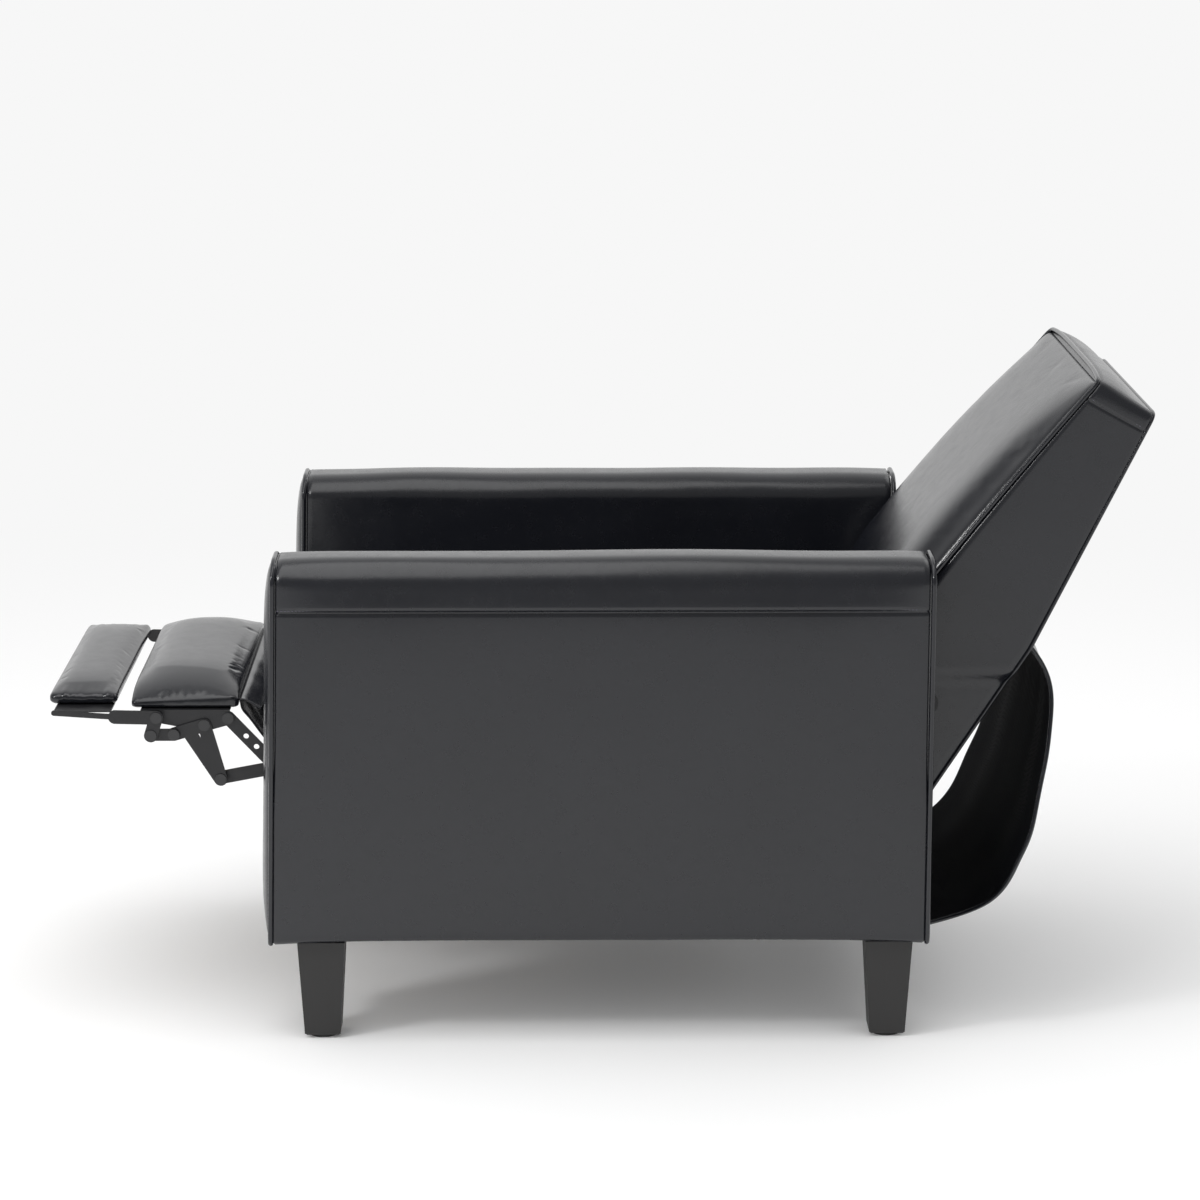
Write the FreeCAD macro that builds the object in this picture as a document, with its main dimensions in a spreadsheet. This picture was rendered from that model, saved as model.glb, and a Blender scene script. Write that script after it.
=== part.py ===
import FreeCAD, Part
import Sketcher
import math
import os
from types import SimpleNamespace

# A push-back recliner in the reclined pose: the back is laid back and the footrest is out.
# X runs across the chair, Y from front to back and Z up. Y is zero at the front seam of the arms.
# At the end everything moves along Y, so that the origin lies under the middle of the chair.

# Driving sizes, all in millimetres
SIZES = {
    # arms
    "arm_outer_x": 340.0,
    "arm_thickness": 105.0,
    "arm_bottom_z": 132.0,
    "arm_top_z": 638.0,
    "arm_front_lean": 12.0,
    "arm_rear_y": 844.0,
    "arm_wall": 14.0,
    "arm_top_radius": 20.0,
    "arm_end_radius": 16.0,
    "arm_post_depth": 32.0,
    "arm_rail_height": 30.0,
    "arm_panel_crown": 13.0,
    "arm_panel_edge": 4.0,
    "arm_panel_inset": 7.0,
    "piping_radius": 3.0,
    # legs
    "leg_top_width": 61.0,
    "leg_foot_width": 46.0,
    "leg_foot_chamfer": 2.5,
    "leg_x": 296.0,
    "front_leg_y": 64.5,
    "rear_leg_inset": 46.0,
    "glide_radius": 18.5,
    "glide_height": 4.0,
    "bolt_radius": 4.0,
    "bolt_grip": 35.0,
    "bolt_clearance": 0.2,
    # rails between the arms
    "rail_thickness": 22.0,
    "front_rail_y": 237.0,
    "front_rail_z": 134.0,
    "front_rail_height": 36.0,
    "rear_rail_inset": 15.0,
    "rear_rail_height": 50.0,
    # steel linkage
    "plate": 2.4,
    "plate_gap": 0.5,
    "rivet_layer": 2.0,
    "base_plate": 3.0,
    "linkage_depth": 21.5,
    "swing_depth": 7.9,
    "link_half_width": 8.8,
    "short_link_half_width": 8.0,
    "lever_half_width": 16.0,
    "seat_plate_half_width": 32.4,
    "seat_arm_half_width": 11.0,
    "bush_radius": 6.2,
    "lug_half_width": 14.0,
    "riser_half_width": 20.0,
    "seat_plate_start_y": 165.0,
    "seat_plate_end_y": 585.0,
    "seat_plate_z": 330.0,
    "seat_shelf_start_y": 280.0,
    "seat_shelf_end_y": 580.0,
    "base_strip_start_y": 215.0,
    "base_strip_z": 195.0,
    "back_plate_end_y": 850.0,
    "back_plate_end_z": 423.0,
    "tube_radius": 11.0,
    "tube_wall": 1.6,
    "shelf_depth": 45.0,
    "bracket_shelf_reach": 48.0,
    "flipper_shelf_depth": 70.0,
    "flipper_web_y": -204.0,
    "flipper_web_z": 409.0,
    "flipper_web_half_width": 9.0,
    "flipper_tip_y": -283.0,
    "flipper_tip_z": 414.5,
    "flipper_tip_half_width": 3.5,
    "strip_half_width": 25.0,
    "rivet_radius": 3.5,
    "rivet_head_radius": 7.5,
    "rivet_head_height": 1.7,
    "rivet_clearance": 0.05,
    "bush_clearance": 0.25,
    "open_pivot_gap": 0.3,
    "spare_hole_radius": 3.6,
    # places of the pivots at rest
    "back_pivot_y": 784.0,
    "back_pivot_z": 340.0,
    "back_lever_lead": 15.31,
    "back_lever_drop": 72.03,
    "swing_base_z": 205.0,
    "front_swing_y": 230.0,
    "rear_swing_y": 520.0,
    "swing_lead": 15.31,
    "swing_rise": 108.93,
    "push_pin_y": 575.0,
    "push_pin_z": 330.0,
    "rod_base_y": 330.0,
    "rod_base_z": 255.0,
    "rod_pin_y": 120.83,
    "rod_pin_z": 354.41,
    "rocker_y": 105.52,
    "rocker_z": 338.64,
    "rocker_pin_y": 25.76,
    "rocker_pin_z": 313.54,
    "long_link_y": 120.0,
    "long_link_z": 390.0,
    "scissor_y": 4.0,
    "scissor_z": 337.0,
    "plate_low_y": -69.3,
    "plate_low_z": 323.1,
    "plate_mid_y": -89.2,
    "plate_mid_z": 395.9,
    "plate_front_y": -128.9,
    "plate_front_z": 383.9,
    "footrest_rear_y": -58.5,
    "footrest_rear_z": 404.4,
    "flipper_pin_y": -150.7,
    "flipper_pin_z": 407.7,
    "flipper_drive_y": -158.2,
    "flipper_drive_z": 383.9,
    # footrest
    "footrest_front_y": -184.0,
    "footrest_back_y": -44.0,
    "footrest_z": 416.0,
    "footrest_side_gap": 25.0,
    "footrest_edge": 26.0,
    "footrest_crown": 8.0,
    "footrest_board": 12.0,
    "flipper_front_y": -292.0,
    "flipper_back_y": -203.0,
    "flipper_z": 418.0,
    "flipper_side_gap": 45.0,
    "flipper_edge": 17.0,
    "flipper_crown": 4.0,
    "flipper_board": 9.0,
    "board_inset": 12.0,
    # seat
    "seat_rail_gap": 2.5,
    "seat_rail_thickness": 21.0,
    "seat_rail_z": 300.0,
    "seat_rail_height": 84.0,
    "seat_front_y": 14.0,
    "seat_frame_front_y": 58.0,
    "seat_frame_rear_y": 636.0,
    "seat_rear_low_y": 650.0,
    "seat_rear_high_y": 660.0,
    "seat_cushion_z": 386.5,
    "seat_step_z": 405.0,
    "seat_top_z": 452.0,
    "seat_crown": 14.0,
    "seat_side_gap": 5.0,
    "webbing_width": 50.0,
    "webbing": 2.5,
    # back: the two ends of its front edge, then how far each rear corner lies along it and behind it
    "low_front_y": 647.2,
    "low_front_z": 330.0,
    "top_front_y": 1060.1,
    "top_front_z": 849.1,
    "top_rear_lead": 11.53,
    "top_rear_depth": 86.79,
    "kink_drop": 323.76,
    "kink_depth": 160.67,
    "low_rear_lead": 107.74,
    "low_rear_depth": 183.65,
    "back_neck_z": 455.0,
    "back_side_gap": 3.0,
    "welt_corner": 9.0,
    "back_wall": 8.0,
    "back_cushion": 55.0,
    "back_crown": 14.0,
    "back_rail_thickness": 22.0,
    "back_rail_depth": 18.0,
    "back_rail_start": 66.0,
    "back_rail_width": 70.0,
    # sling and flap
    "sling": 3.0,
    "sling_fold": 5.0,
    "sling_hem": 10.0,
    "sling_gap": 0.3,
    "sling_side_gap": 10.0,
    "sling_overlap": 55.0,
    "flap": 2.0,
    "flap_fold": 2.5,
    "flap_side_gap": 32.0,
    # cutting tools reach this far past what they cut
    "overrun": 5.0,
}

doc = FreeCAD.newDocument("recliner")
sheet = doc.addObject("Spreadsheet::Sheet", "Sizes")


class Size:
    """A length, held both as its number and as the expression that gives it from the sheet."""

    def __init__(self, value, text):
        self.value = value
        self.text = text

    def __add__(self, other):
        return Size(self.value + sized(other).value, f"({self.text} + {sized(other).text})")

    def __sub__(self, other):
        return Size(self.value - sized(other).value, f"({self.text} - {sized(other).text})")

    def __mul__(self, share):
        return Size(self.value * share, f"({self.text} * {share})")

    def __truediv__(self, share):
        return Size(self.value / share, f"({self.text} / {share})")

    def __neg__(self):
        return Size(-self.value, f"(0 - {self.text})")


def sized(number):
    """A Size as it is, or zero as a Size."""
    return number if isinstance(number, Size) else Size(number, str(number))


for row, (name, value) in enumerate(SIZES.items(), start=1):
    sheet.set(f"A{row}", name)
    sheet.set(f"B{row}", str(value))
    sheet.setAlias(f"B{row}", name)
shift_cell = f"B{len(SIZES) + 1}"
sheet.set(shift_cell, "0")
sheet.setAlias(shift_cell, "frame_shift")
doc.recompute()
s = SimpleNamespace(**{name: Size(value, f"Sizes.{name}") for name, value in SIZES.items()})
SHIFT = Size(0.0, "Sizes.frame_shift")
ZERO = Size(0.0, "0")

nodes = []
placed = []


def keep(piece, label, at=(ZERO, ZERO, ZERO)):
    """Name a finished sub-part and bind its place to the sheet."""
    piece.Label = label
    nodes.append(piece)
    place(piece, at)
    placed.append(piece)
    return piece


def place(piece, at):
    for axis, length in zip("xyz", at):
        length = sized(length)
        if axis == "y":
            length = length + SHIFT
        piece.setExpression(f"Placement.Base.{axis}", length.text)


# Sketches and bodies


def origin_plane(body, role):
    return next(f for f in body.Origin.OriginFeatures if f.Role == role)


def new_sketch(body, role, offset=None):
    sketch = body.newObject("Sketcher::SketchObject", "Sketch")
    sketch.AttachmentSupport = [(origin_plane(body, role), "")]
    sketch.MapMode = "FlatFace"
    if offset is not None:
        sketch.setExpression("AttachmentOffset.Base.z", sized(offset).text)
    return sketch


def fix(sketch, kind, refs, length):
    """Add a dimension to a sketch and bind it to the sheet."""
    length = sized(length)
    index = sketch.addConstraint(Sketcher.Constraint(kind, *refs, length.value))
    sketch.setExpression(f"Constraints[{index}]", length.text)


def fix_point(sketch, geometry, end, point):
    fix(sketch, "DistanceX", (-1, 1, geometry, end), point[0])
    fix(sketch, "DistanceY", (-1, 1, geometry, end), point[1])


def draw_polygon(sketch, corners):
    first = sketch.GeometryCount
    count = len(corners)
    vectors = [FreeCAD.Vector(sized(u).value, sized(v).value, 0) for u, v in corners]
    for i in range(count):
        sketch.addGeometry(Part.LineSegment(vectors[i], vectors[(i + 1) % count]), False)
    for i in range(count):
        after = first + (i + 1) % count
        sketch.addConstraint(Sketcher.Constraint("Coincident", first + i, 2, after, 1))
    for i, corner in enumerate(corners):
        fix_point(sketch, first + i, 1, corner)


def draw_rectangle(sketch, low, high):
    draw_polygon(sketch, [low, (high[0], low[1]), high, (low[0], high[1])])


def draw_circle(sketch, centre, radius):
    index = sketch.GeometryCount
    point = FreeCAD.Vector(sized(centre[0]).value, sized(centre[1]).value, 0)
    sketch.addGeometry(Part.Circle(point, FreeCAD.Vector(0, 0, 1), radius.value), False)
    fix_point(sketch, index, 3, centre)
    fix(sketch, "Radius", (index,), radius)


def draw_slot(sketch, start, end, radius):
    """A slot outline: two half circles about the pivots, joined by tangent lines."""
    up = FreeCAD.Vector(0, 0, 1)
    a = FreeCAD.Vector(start[0].value, start[1].value, 0)
    b = FreeCAD.Vector(end[0].value, end[1].value, 0)
    turn = math.atan2(b.y - a.y, b.x - a.x)
    quarter = math.pi / 2
    side = FreeCAD.Vector(-math.sin(turn), math.cos(turn), 0) * radius.value
    first = sketch.GeometryCount
    start_arc = Part.ArcOfCircle(Part.Circle(a, up, radius.value), turn + quarter, turn + 3 * quarter)
    end_arc = Part.ArcOfCircle(Part.Circle(b, up, radius.value), turn - quarter, turn + quarter)
    sketch.addGeometry(start_arc, False)
    sketch.addGeometry(Part.LineSegment(a - side, b - side), False)
    sketch.addGeometry(end_arc, False)
    sketch.addGeometry(Part.LineSegment(b + side, a + side), False)
    for i in range(4):
        joined = (first + i, 2, first + (i + 1) % 4, 1)
        sketch.addConstraint(Sketcher.Constraint("Tangent", *joined))
    sketch.addConstraint(Sketcher.Constraint("Equal", first, first + 2))
    fix(sketch, "Radius", (first,), radius)
    fix_point(sketch, first, 3, start)
    fix_point(sketch, first + 2, 3, end)


def pad(body, sketch, length):
    feature = body.newObject("PartDesign::Pad", "Pad")
    feature.Profile = sketch
    feature.setExpression("Length", length.text)
    sketch.Visibility = False
    return feature


def cut_through(body, sketch):
    """Pocket right through the body on the sketch's positive side, and make sure that it cuts."""
    doc.recompute()
    before = body.Shape.Volume
    feature = body.newObject("PartDesign::Pocket", "Pocket")
    feature.Profile = sketch
    feature.Type = "ThroughAll"
    feature.Reversed = True
    doc.recompute()
    if body.Shape.Volume >= before:
        raise RuntimeError(f"A pocket in {body.Label} cuts nothing")
    return feature


def round_edges(body, radius, wanted, kind="PartDesign::Fillet"):
    """Round or chamfer the edges whose ends satisfy a test."""
    doc.recompute()
    base = body.Tip
    names = [f"Edge{i}" for i, edge in enumerate(base.Shape.Edges, start=1) if wanted(edge)]
    feature = body.newObject(kind, "Rounding")
    feature.Base = (base, names)
    size_name = "Radius" if kind.endswith("Fillet") else "Size"
    feature.setExpression(size_name, radius.text)
    return feature


def prism(label, role, corners, length, at):
    """A board, panel or block: one outline padded at right angles to its plane."""
    body = doc.addObject("PartDesign::Body", label)
    sketch = new_sketch(body, role)
    draw_polygon(sketch, corners)
    pad(body, sketch, length)
    return keep(body, label, at)


def box(low, high):
    """A plain bar between two corners, one of a group."""
    bar = doc.addObject("Part::Box", "Bar")
    for name, i in (("Length", 0), ("Width", 1), ("Height", 2)):
        bar.setExpression(name, (sized(high[i]) - sized(low[i])).text)
    for axis, length in zip("xyz", low):
        bar.setExpression(f"Placement.Base.{axis}", sized(length).text)
    return bar


def group(label, members):
    """Several separate solids that make one node."""
    whole = doc.addObject("Part::Compound", label)
    whole.Links = members
    return keep(whole, label)


# Lateral layers of the linkage, counted from the middle of the chair outwards

ARM_INNER = s.arm_outer_x - s.arm_thickness
step = s.plate + s.plate_gap
LONG_LAYER = ARM_INNER - s.linkage_depth
CROSS_LAYER = LONG_LAYER + step
BRACKET_LAYER = CROSS_LAYER + step
MIDDLE_LAYER = BRACKET_LAYER + step
SHORT_LAYER = MIDDLE_LAYER + step
SWING_LAYER = ARM_INNER - s.swing_depth
FLIPPER_LAYER = SHORT_LAYER + s.plate + s.rivet_layer
BASE_LAYER = ARM_INNER - s.base_plate

# Half widths of what lies between the arms

SEAT_RAIL = LONG_LAYER - s.seat_rail_gap
SEAT_HALF = ARM_INNER - s.seat_side_gap
BACK_HALF = ARM_INNER - s.back_side_gap
BACK_NECK_HALF = MIDDLE_LAYER
FOOTREST_HALF = ARM_INNER - s.footrest_side_gap
FLIPPER_HALF = ARM_INNER - s.flipper_side_gap
FLAP_HALF = ARM_INNER - s.flap_side_gap
SLING_TOP_HALF = ARM_INNER - s.sling_side_gap
SLING_LOW_HALF = ARM_INNER + s.sling_overlap

# Places along the chair that follow from its arms

REAR_LEG_Y = s.arm_rear_y - s.rear_leg_inset
REAR_RAIL_Y = s.arm_rear_y - s.rear_rail_inset
STRIP_END_Y = REAR_RAIL_Y - s.rail_thickness / 2 - s.strip_half_width - s.sling_gap

# Pivots at rest, as places in the side view

BACK_PIVOT = (s.back_pivot_y, s.back_pivot_z)
BACK_LEVER = (s.back_pivot_y - s.back_lever_lead, s.back_pivot_z - s.back_lever_drop)
FRONT_SWING = (s.front_swing_y, s.swing_base_z)
REAR_SWING = (s.rear_swing_y, s.swing_base_z)
FRONT_SWING_TOP = (s.front_swing_y - s.swing_lead, s.swing_base_z + s.swing_rise)
REAR_SWING_TOP = (s.rear_swing_y - s.swing_lead, s.swing_base_z + s.swing_rise)
PUSH_PIN = (s.push_pin_y, s.push_pin_z)
ROD_BASE = (s.rod_base_y, s.rod_base_z)
ROD_PIN = (s.rod_pin_y, s.rod_pin_z)
ROCKER = (s.rocker_y, s.rocker_z)
ROCKER_PIN = (s.rocker_pin_y, s.rocker_pin_z)
LONG_PIVOT = (s.long_link_y, s.long_link_z)
SCISSOR = (s.scissor_y, s.scissor_z)
PLATE_LOW = (s.plate_low_y, s.plate_low_z)
PLATE_MID = (s.plate_mid_y, s.plate_mid_z)
PLATE_FRONT = (s.plate_front_y, s.plate_front_z)
FOOTREST_REAR = (s.footrest_rear_y, s.footrest_rear_z)
FLIPPER_PIN = (s.flipper_pin_y, s.flipper_pin_z)
FLIPPER_DRIVE = (s.flipper_drive_y, s.flipper_drive_z)

HOLE = s.rivet_radius + s.rivet_clearance


def flat_plate(label, side, layer, thickness, arms, holes, flange=None):
    """A steel plate in its lateral layer: an arm between each two pivots, and drilled holes.

    Side is 1 on the chair's +X side and -1 on the other. A flange is a strip at the plate's
    edge that reaches towards the middle of the chair, from its low to its high corner."""
    body = doc.addObject("PartDesign::Body", label)
    for start, end, half_width in arms:
        sketch = new_sketch(body, "YZ_Plane")
        draw_slot(sketch, start, end, half_width)
        pad(body, sketch, thickness)
    if flange is not None:
        low, high, width = flange
        sketch = new_sketch(body, "YZ_Plane", thickness - width if side > 0 else ZERO)
        draw_rectangle(sketch, low, high)
        pad(body, sketch, width)
    if holes:
        sketch = new_sketch(body, "YZ_Plane")
        for centre, radius in holes:
            draw_circle(sketch, centre, radius)
        cut_through(body, sketch)
    body.Label = label
    return body, (layer if side > 0 else -(layer + thickness), ZERO, ZERO)


def plate_node(label, side, layer, thickness, arms, holes, flange=None):
    body, at = flat_plate(label, side, layer, thickness, arms, holes, flange)
    return keep(body, label, at)


def plate_pair(label, layer, thickness, arms, holes):
    """The same plate on both sides of the chair, as one node."""
    members = []
    for side in (1, -1):
        body, at = flat_plate(f"{label}_plate", side, layer, thickness, arms, holes)
        for axis, length in zip("xyz", at):
            body.setExpression(f"Placement.Base.{axis}", sized(length).text)
        members.append(body)
    return group(label, members)


def pin(side, centre, low, high, radius):
    """A round pin across the chair, from low to high on the +X side, or its mirror image."""
    rod = doc.addObject("Part::Cylinder", "Pin")
    rod.setExpression("Radius", radius.text)
    rod.setExpression("Height", (high - low).text)
    rod.Placement = FreeCAD.Placement(FreeCAD.Vector(), FreeCAD.Rotation(FreeCAD.Vector(0, 1, 0), 90))
    rod.setExpression("Placement.Base.x", (low if side > 0 else -high).text)
    rod.setExpression("Placement.Base.y", centre[0].text)
    rod.setExpression("Placement.Base.z", centre[1].text)
    return rod


def rivet(side, centre, low, high, head_low=False, head_high=False, bush=None):
    """A rivet: its shank, a flat head at either end and, where it spans a gap, a bush."""
    parts = [pin(side, centre, low, high, s.rivet_radius)]
    if head_low:
        parts.append(pin(side, centre, low - s.rivet_head_height, low, s.rivet_head_radius))
    if head_high:
        parts.append(pin(side, centre, high, high + s.rivet_head_height, s.rivet_head_radius))
    if bush is not None:
        parts.append(pin(side, centre, bush[0], bush[1], s.bush_radius))
    if len(parts) == 1:
        return parts[0]
    whole = doc.addObject("Part::MultiFuse", "Rivet")
    whole.Shapes = parts
    return whole


def rivets(label, places):
    return group(label, [rivet(side, *place) for place in places for side in (1, -1)])


# Arms


def arm(name, side):
    inner = ARM_INNER if side > 0 else -s.arm_outer_x
    corners = [
        (ZERO, s.arm_bottom_z),
        (s.arm_rear_y, s.arm_bottom_z),
        (s.arm_rear_y, s.arm_top_z),
        (s.arm_front_lean, s.arm_top_z),
    ]
    body = doc.addObject("PartDesign::Body", f"arm_cover_{name}")
    sketch = new_sketch(body, "YZ_Plane")
    draw_polygon(sketch, corners)
    pad(body, sketch, s.arm_thickness)
    top = s.arm_top_z.value
    bottom = s.arm_bottom_z.value
    middle = (top + bottom) / 2
    round_edges(body, s.arm_top_radius, lambda e: is_along(e, "y") and e.CenterOfMass.z > middle)
    round_edges(body, s.arm_end_radius, lambda e: is_along(e, "x") and e.CenterOfMass.z < middle)
    cavity = body.newObject("PartDesign::SubtractiveBox", "Cavity")
    cavity.setExpression("Length", (s.arm_thickness - s.arm_wall * 2).text)
    cavity.setExpression("Width", (s.arm_rear_y - s.arm_front_lean - s.arm_wall * 2).text)
    cavity.setExpression("Height", (s.arm_top_z - s.arm_bottom_z - s.arm_wall * 2).text)
    cavity.setExpression("Placement.Base.x", s.arm_wall.text)
    cavity.setExpression("Placement.Base.y", (s.arm_front_lean + s.arm_wall).text)
    cavity.setExpression("Placement.Base.z", (s.arm_bottom_z + s.arm_wall).text)
    holes = new_sketch(body, "XY_Plane")
    leg_x = s.leg_x - ARM_INNER if side > 0 else s.arm_outer_x - s.leg_x
    for leg_y in (s.front_leg_y, REAR_LEG_Y):
        draw_circle(holes, (leg_x, leg_y), s.bolt_radius + s.bolt_clearance)
    feature = body.newObject("PartDesign::Pocket", "BoltHoles")
    feature.Profile = holes
    feature.Reversed = True
    feature.setExpression("Length", (s.arm_bottom_z + s.arm_wall + s.overrun).text)
    keep(body, f"arm_cover_{name}", (inner, ZERO, ZERO))
    arm_frame(name, side)
    arm_front_panel(name, side)
    arm_piping(name, side)


# How much of an edge's direction lies along an axis, where the edge counts as running along it

ALONG_SHARE = 0.99


def is_along(edge, axis):
    """True for a straight edge along one axis, give or take the lean of the arm's front."""
    if edge.Curve.TypeId != "Part::GeomLine":
        return False
    direction = edge.Vertexes[-1].Point - edge.Vertexes[0].Point
    direction.normalize()
    return abs(getattr(direction, axis)) > ALONG_SHARE


def arm_frame(name, side):
    """The timber inside an arm: two posts between a bottom and a top rail, and a middle rail."""
    low_x = ARM_INNER + s.arm_wall
    high_x = s.arm_outer_x - s.arm_wall
    if side < 0:
        low_x, high_x = -high_x, -low_x
    front = s.arm_front_lean + s.arm_wall
    rear = s.arm_rear_y - s.arm_wall
    floor = s.arm_bottom_z + s.arm_wall
    ceiling = s.arm_top_z - s.arm_wall
    under = floor + s.arm_rail_height
    over = ceiling - s.arm_rail_height
    half = (under + over) / 2
    bars = [
        ((front, under), (front + s.arm_post_depth, over)),
        ((rear - s.arm_post_depth, under), (rear, over)),
        ((front, over), (rear, ceiling)),
        ((front + s.arm_post_depth, half), (rear - s.arm_post_depth, half + s.arm_rail_height)),
    ]
    members = [box((low_x, *low), (high_x, *high)) for low, high in bars]
    rail = doc.addObject("PartDesign::Body", "BottomRail")
    sketch = new_sketch(rail, "XY_Plane", floor)
    draw_rectangle(sketch, (low_x, front), (high_x, rear))
    leg_x = s.leg_x if side > 0 else -s.leg_x
    for leg_y in (s.front_leg_y, REAR_LEG_Y):
        draw_circle(sketch, (leg_x, leg_y), s.bolt_radius + s.bolt_clearance)
    pad(rail, sketch, s.arm_rail_height)
    group(f"arm_frame_{name}", members + [rail])


def lean_angle():
    rise = SIZES["arm_top_z"] - SIZES["arm_bottom_z"]
    return math.degrees(math.atan2(SIZES["arm_front_lean"], rise))


# The front panel's sections, as shares of its height and of its crown

PANEL_HEIGHT_SHARES = (0, 0.12, 0.5, 0.88, 1)
PANEL_SWELL_SHARES = (0, 0.85, 1, 0.85, 0)


def arm_front_panel(name, side):
    """The padded panel on an arm's front: flat behind, crowned in front."""
    inset = SIZES["arm_panel_inset"]
    half = SIZES["arm_thickness"] / 2 - inset
    rise = SIZES["arm_top_z"] - SIZES["arm_bottom_z"]
    low = inset + SIZES["arm_end_radius"] / 2
    high = rise / math.cos(math.radians(lean_angle())) - inset
    edge = SIZES["arm_panel_edge"]
    wires = []
    for height_share, swell_share in zip(PANEL_HEIGHT_SHARES, PANEL_SWELL_SHARES):
        z = low + (high - low) * height_share
        crown = edge + (SIZES["arm_panel_crown"] - edge) * swell_share
        left = FreeCAD.Vector(-half, 0, z)
        right = FreeCAD.Vector(half, 0, z)
        left_edge = FreeCAD.Vector(-half, -edge, z)
        right_edge = FreeCAD.Vector(half, -edge, z)
        middle = FreeCAD.Vector(0, -max(crown, edge + SIZES["sling_gap"]), z)
        arc = Part.Arc(left_edge, middle, right_edge).toShape()
        lines = [Part.LineSegment(a, b).toShape() for a, b in
                 ((right_edge, right), (right, left), (left, left_edge))]
        wires.append(Part.Wire([arc] + lines))
    panel = doc.addObject("Part::Feature", f"arm_front_panel_{name}")
    panel.Shape = Part.makeLoft(wires, True, False)
    turn = FreeCAD.Rotation(FreeCAD.Vector(1, 0, 0), -lean_angle())
    panel.Placement = FreeCAD.Placement(FreeCAD.Vector(), turn)
    middle_x = s.arm_outer_x - s.arm_thickness / 2
    keep(panel, panel.Name, (middle_x if side > 0 else -middle_x, ZERO, s.arm_bottom_z))


def rounded_loop(half, low, high, radius):
    """A closed upright loop of straight runs and quarter turns, in the plane of Y zero."""
    def at(x, z):
        return FreeCAD.Vector(x, 0, z)

    diagonal = radius * (1 - math.sqrt(0.5))
    corners = ((half, low, -1, 1), (half, high, -1, -1), (-half, high, 1, -1), (-half, low, 1, 1))
    edges = []
    ends = []
    for i, (x, z, dx, dz) in enumerate(corners):
        first, last = at(x, z + dz * radius), at(x + dx * radius, z)
        if i % 2 == 0:
            first, last = last, first
        edges.append(Part.Arc(first, at(x + dx * diagonal, z + dz * diagonal), last).toShape())
        ends.append((first, last))
    for i in range(4):
        edges.append(Part.LineSegment(ends[i][1], ends[(i + 1) % 4][0]).toShape())
    return Part.Wire(Part.__sortEdges__(edges))


def arm_piping(name, side):
    """Welt cords round the front and the rear face of an arm."""
    radius = SIZES["piping_radius"]
    half = SIZES["arm_thickness"] / 2 - radius
    rise = SIZES["arm_top_z"] - SIZES["arm_bottom_z"]
    leaning = rise / math.cos(math.radians(lean_angle()))
    middle_x = SIZES["arm_outer_x"] - SIZES["arm_thickness"] / 2
    cords = []
    for length, y, turn in ((leaning, -radius, -lean_angle()), (rise, radius, 0)):
        path = rounded_loop(half, radius, length - radius, SIZES["arm_end_radius"])
        start = path.Edges[0].Vertexes[0].Point
        tangent = path.Edges[0].tangentAt(path.Edges[0].FirstParameter)
        profile = Part.Wire(Part.makeCircle(radius, start, tangent))
        cord = path.makePipeShell([profile], True, False)
        cord.translate(FreeCAD.Vector(0, y, 0))
        cord.rotate(FreeCAD.Vector(), FreeCAD.Vector(1, 0, 0), turn)
        cord.translate(FreeCAD.Vector(side * middle_x, 0, SIZES["arm_bottom_z"]))
        cords.append(cord)
    cords[1].translate(FreeCAD.Vector(0, SIZES["arm_rear_y"], 0))
    welt = doc.addObject("Part::Feature", f"arm_piping_{name}")
    welt.Shape = Part.makeCompound(cords)
    keep(welt, welt.Name)


# Legs


# How near two heights are, as a share of the greater one, where they count as the same

LEVEL_SHARE = 0.001


def leg(name, side, leg_y):
    body = doc.addObject("PartDesign::Body", f"{name}_leg")
    sections = []
    for height, width in ((s.arm_bottom_z, s.leg_top_width), (s.glide_height, s.leg_foot_width)):
        sketch = new_sketch(body, "XY_Plane", height)
        half = width / 2
        draw_rectangle(sketch, (-half, -half), (half, half))
        sections.append(sketch)
    loft = body.newObject("PartDesign::AdditiveLoft", "Taper")
    loft.Profile = sections[0]
    loft.Sections = [sections[1]]
    foot = SIZES["glide_height"]
    near = foot * LEVEL_SHARE
    round_edges(body, s.leg_foot_chamfer,
                lambda e: all(abs(v.Z - foot) < near for v in e.Vertexes), "PartDesign::Chamfer")
    sketch = new_sketch(body, "XY_Plane", s.arm_bottom_z)
    draw_circle(sketch, (ZERO, ZERO), s.bolt_radius + s.bolt_clearance)
    doc.recompute()
    before = body.Shape.Volume
    hole = body.newObject("PartDesign::Pocket", "BoltHole")
    hole.Profile = sketch
    hole.setExpression("Length", s.bolt_grip.text)
    doc.recompute()
    if body.Shape.Volume >= before:
        raise RuntimeError("The bolt hole of a leg cuts nothing")
    keep(body, f"{name}_leg", (s.leg_x if side > 0 else -s.leg_x, leg_y, ZERO))


def upright_cylinder(x, y, low, high, radius):
    rod = doc.addObject("Part::Cylinder", "Stud")
    rod.setExpression("Radius", radius.text)
    rod.setExpression("Height", (high - low).text)
    rod.setExpression("Placement.Base.x", x.text)
    rod.setExpression("Placement.Base.y", y.text)
    rod.setExpression("Placement.Base.z", low.text)
    return rod


# Upholstered pads: their upright sections lie at shares of the half width

WIDTH_SHARES = (1, 0.97, 0.92, 0.84, 0.7, 0.5, 0.25)

# What a cushion keeps of its crown and of its edge at its very end, and how far its sides bulge and draw in

LEAST_CROWN_SHARE = 0.01
END_CROWN_SHARE = 0.12
END_EDGE_SHARE = 0.62
SIDE_BULGE_SHARE = 0.16


def mirrored(shares):
    """Shares from -1 to 1, through 0, out of those of one side."""
    return [-share for share in shares] + [0] + [share for share in reversed(shares)]


def crown_share(width_share):
    """How much of its crown a cushion has at a share of its half width."""
    return max(LEAST_CROWN_SHARE, 1 - abs(width_share) ** 3)


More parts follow.
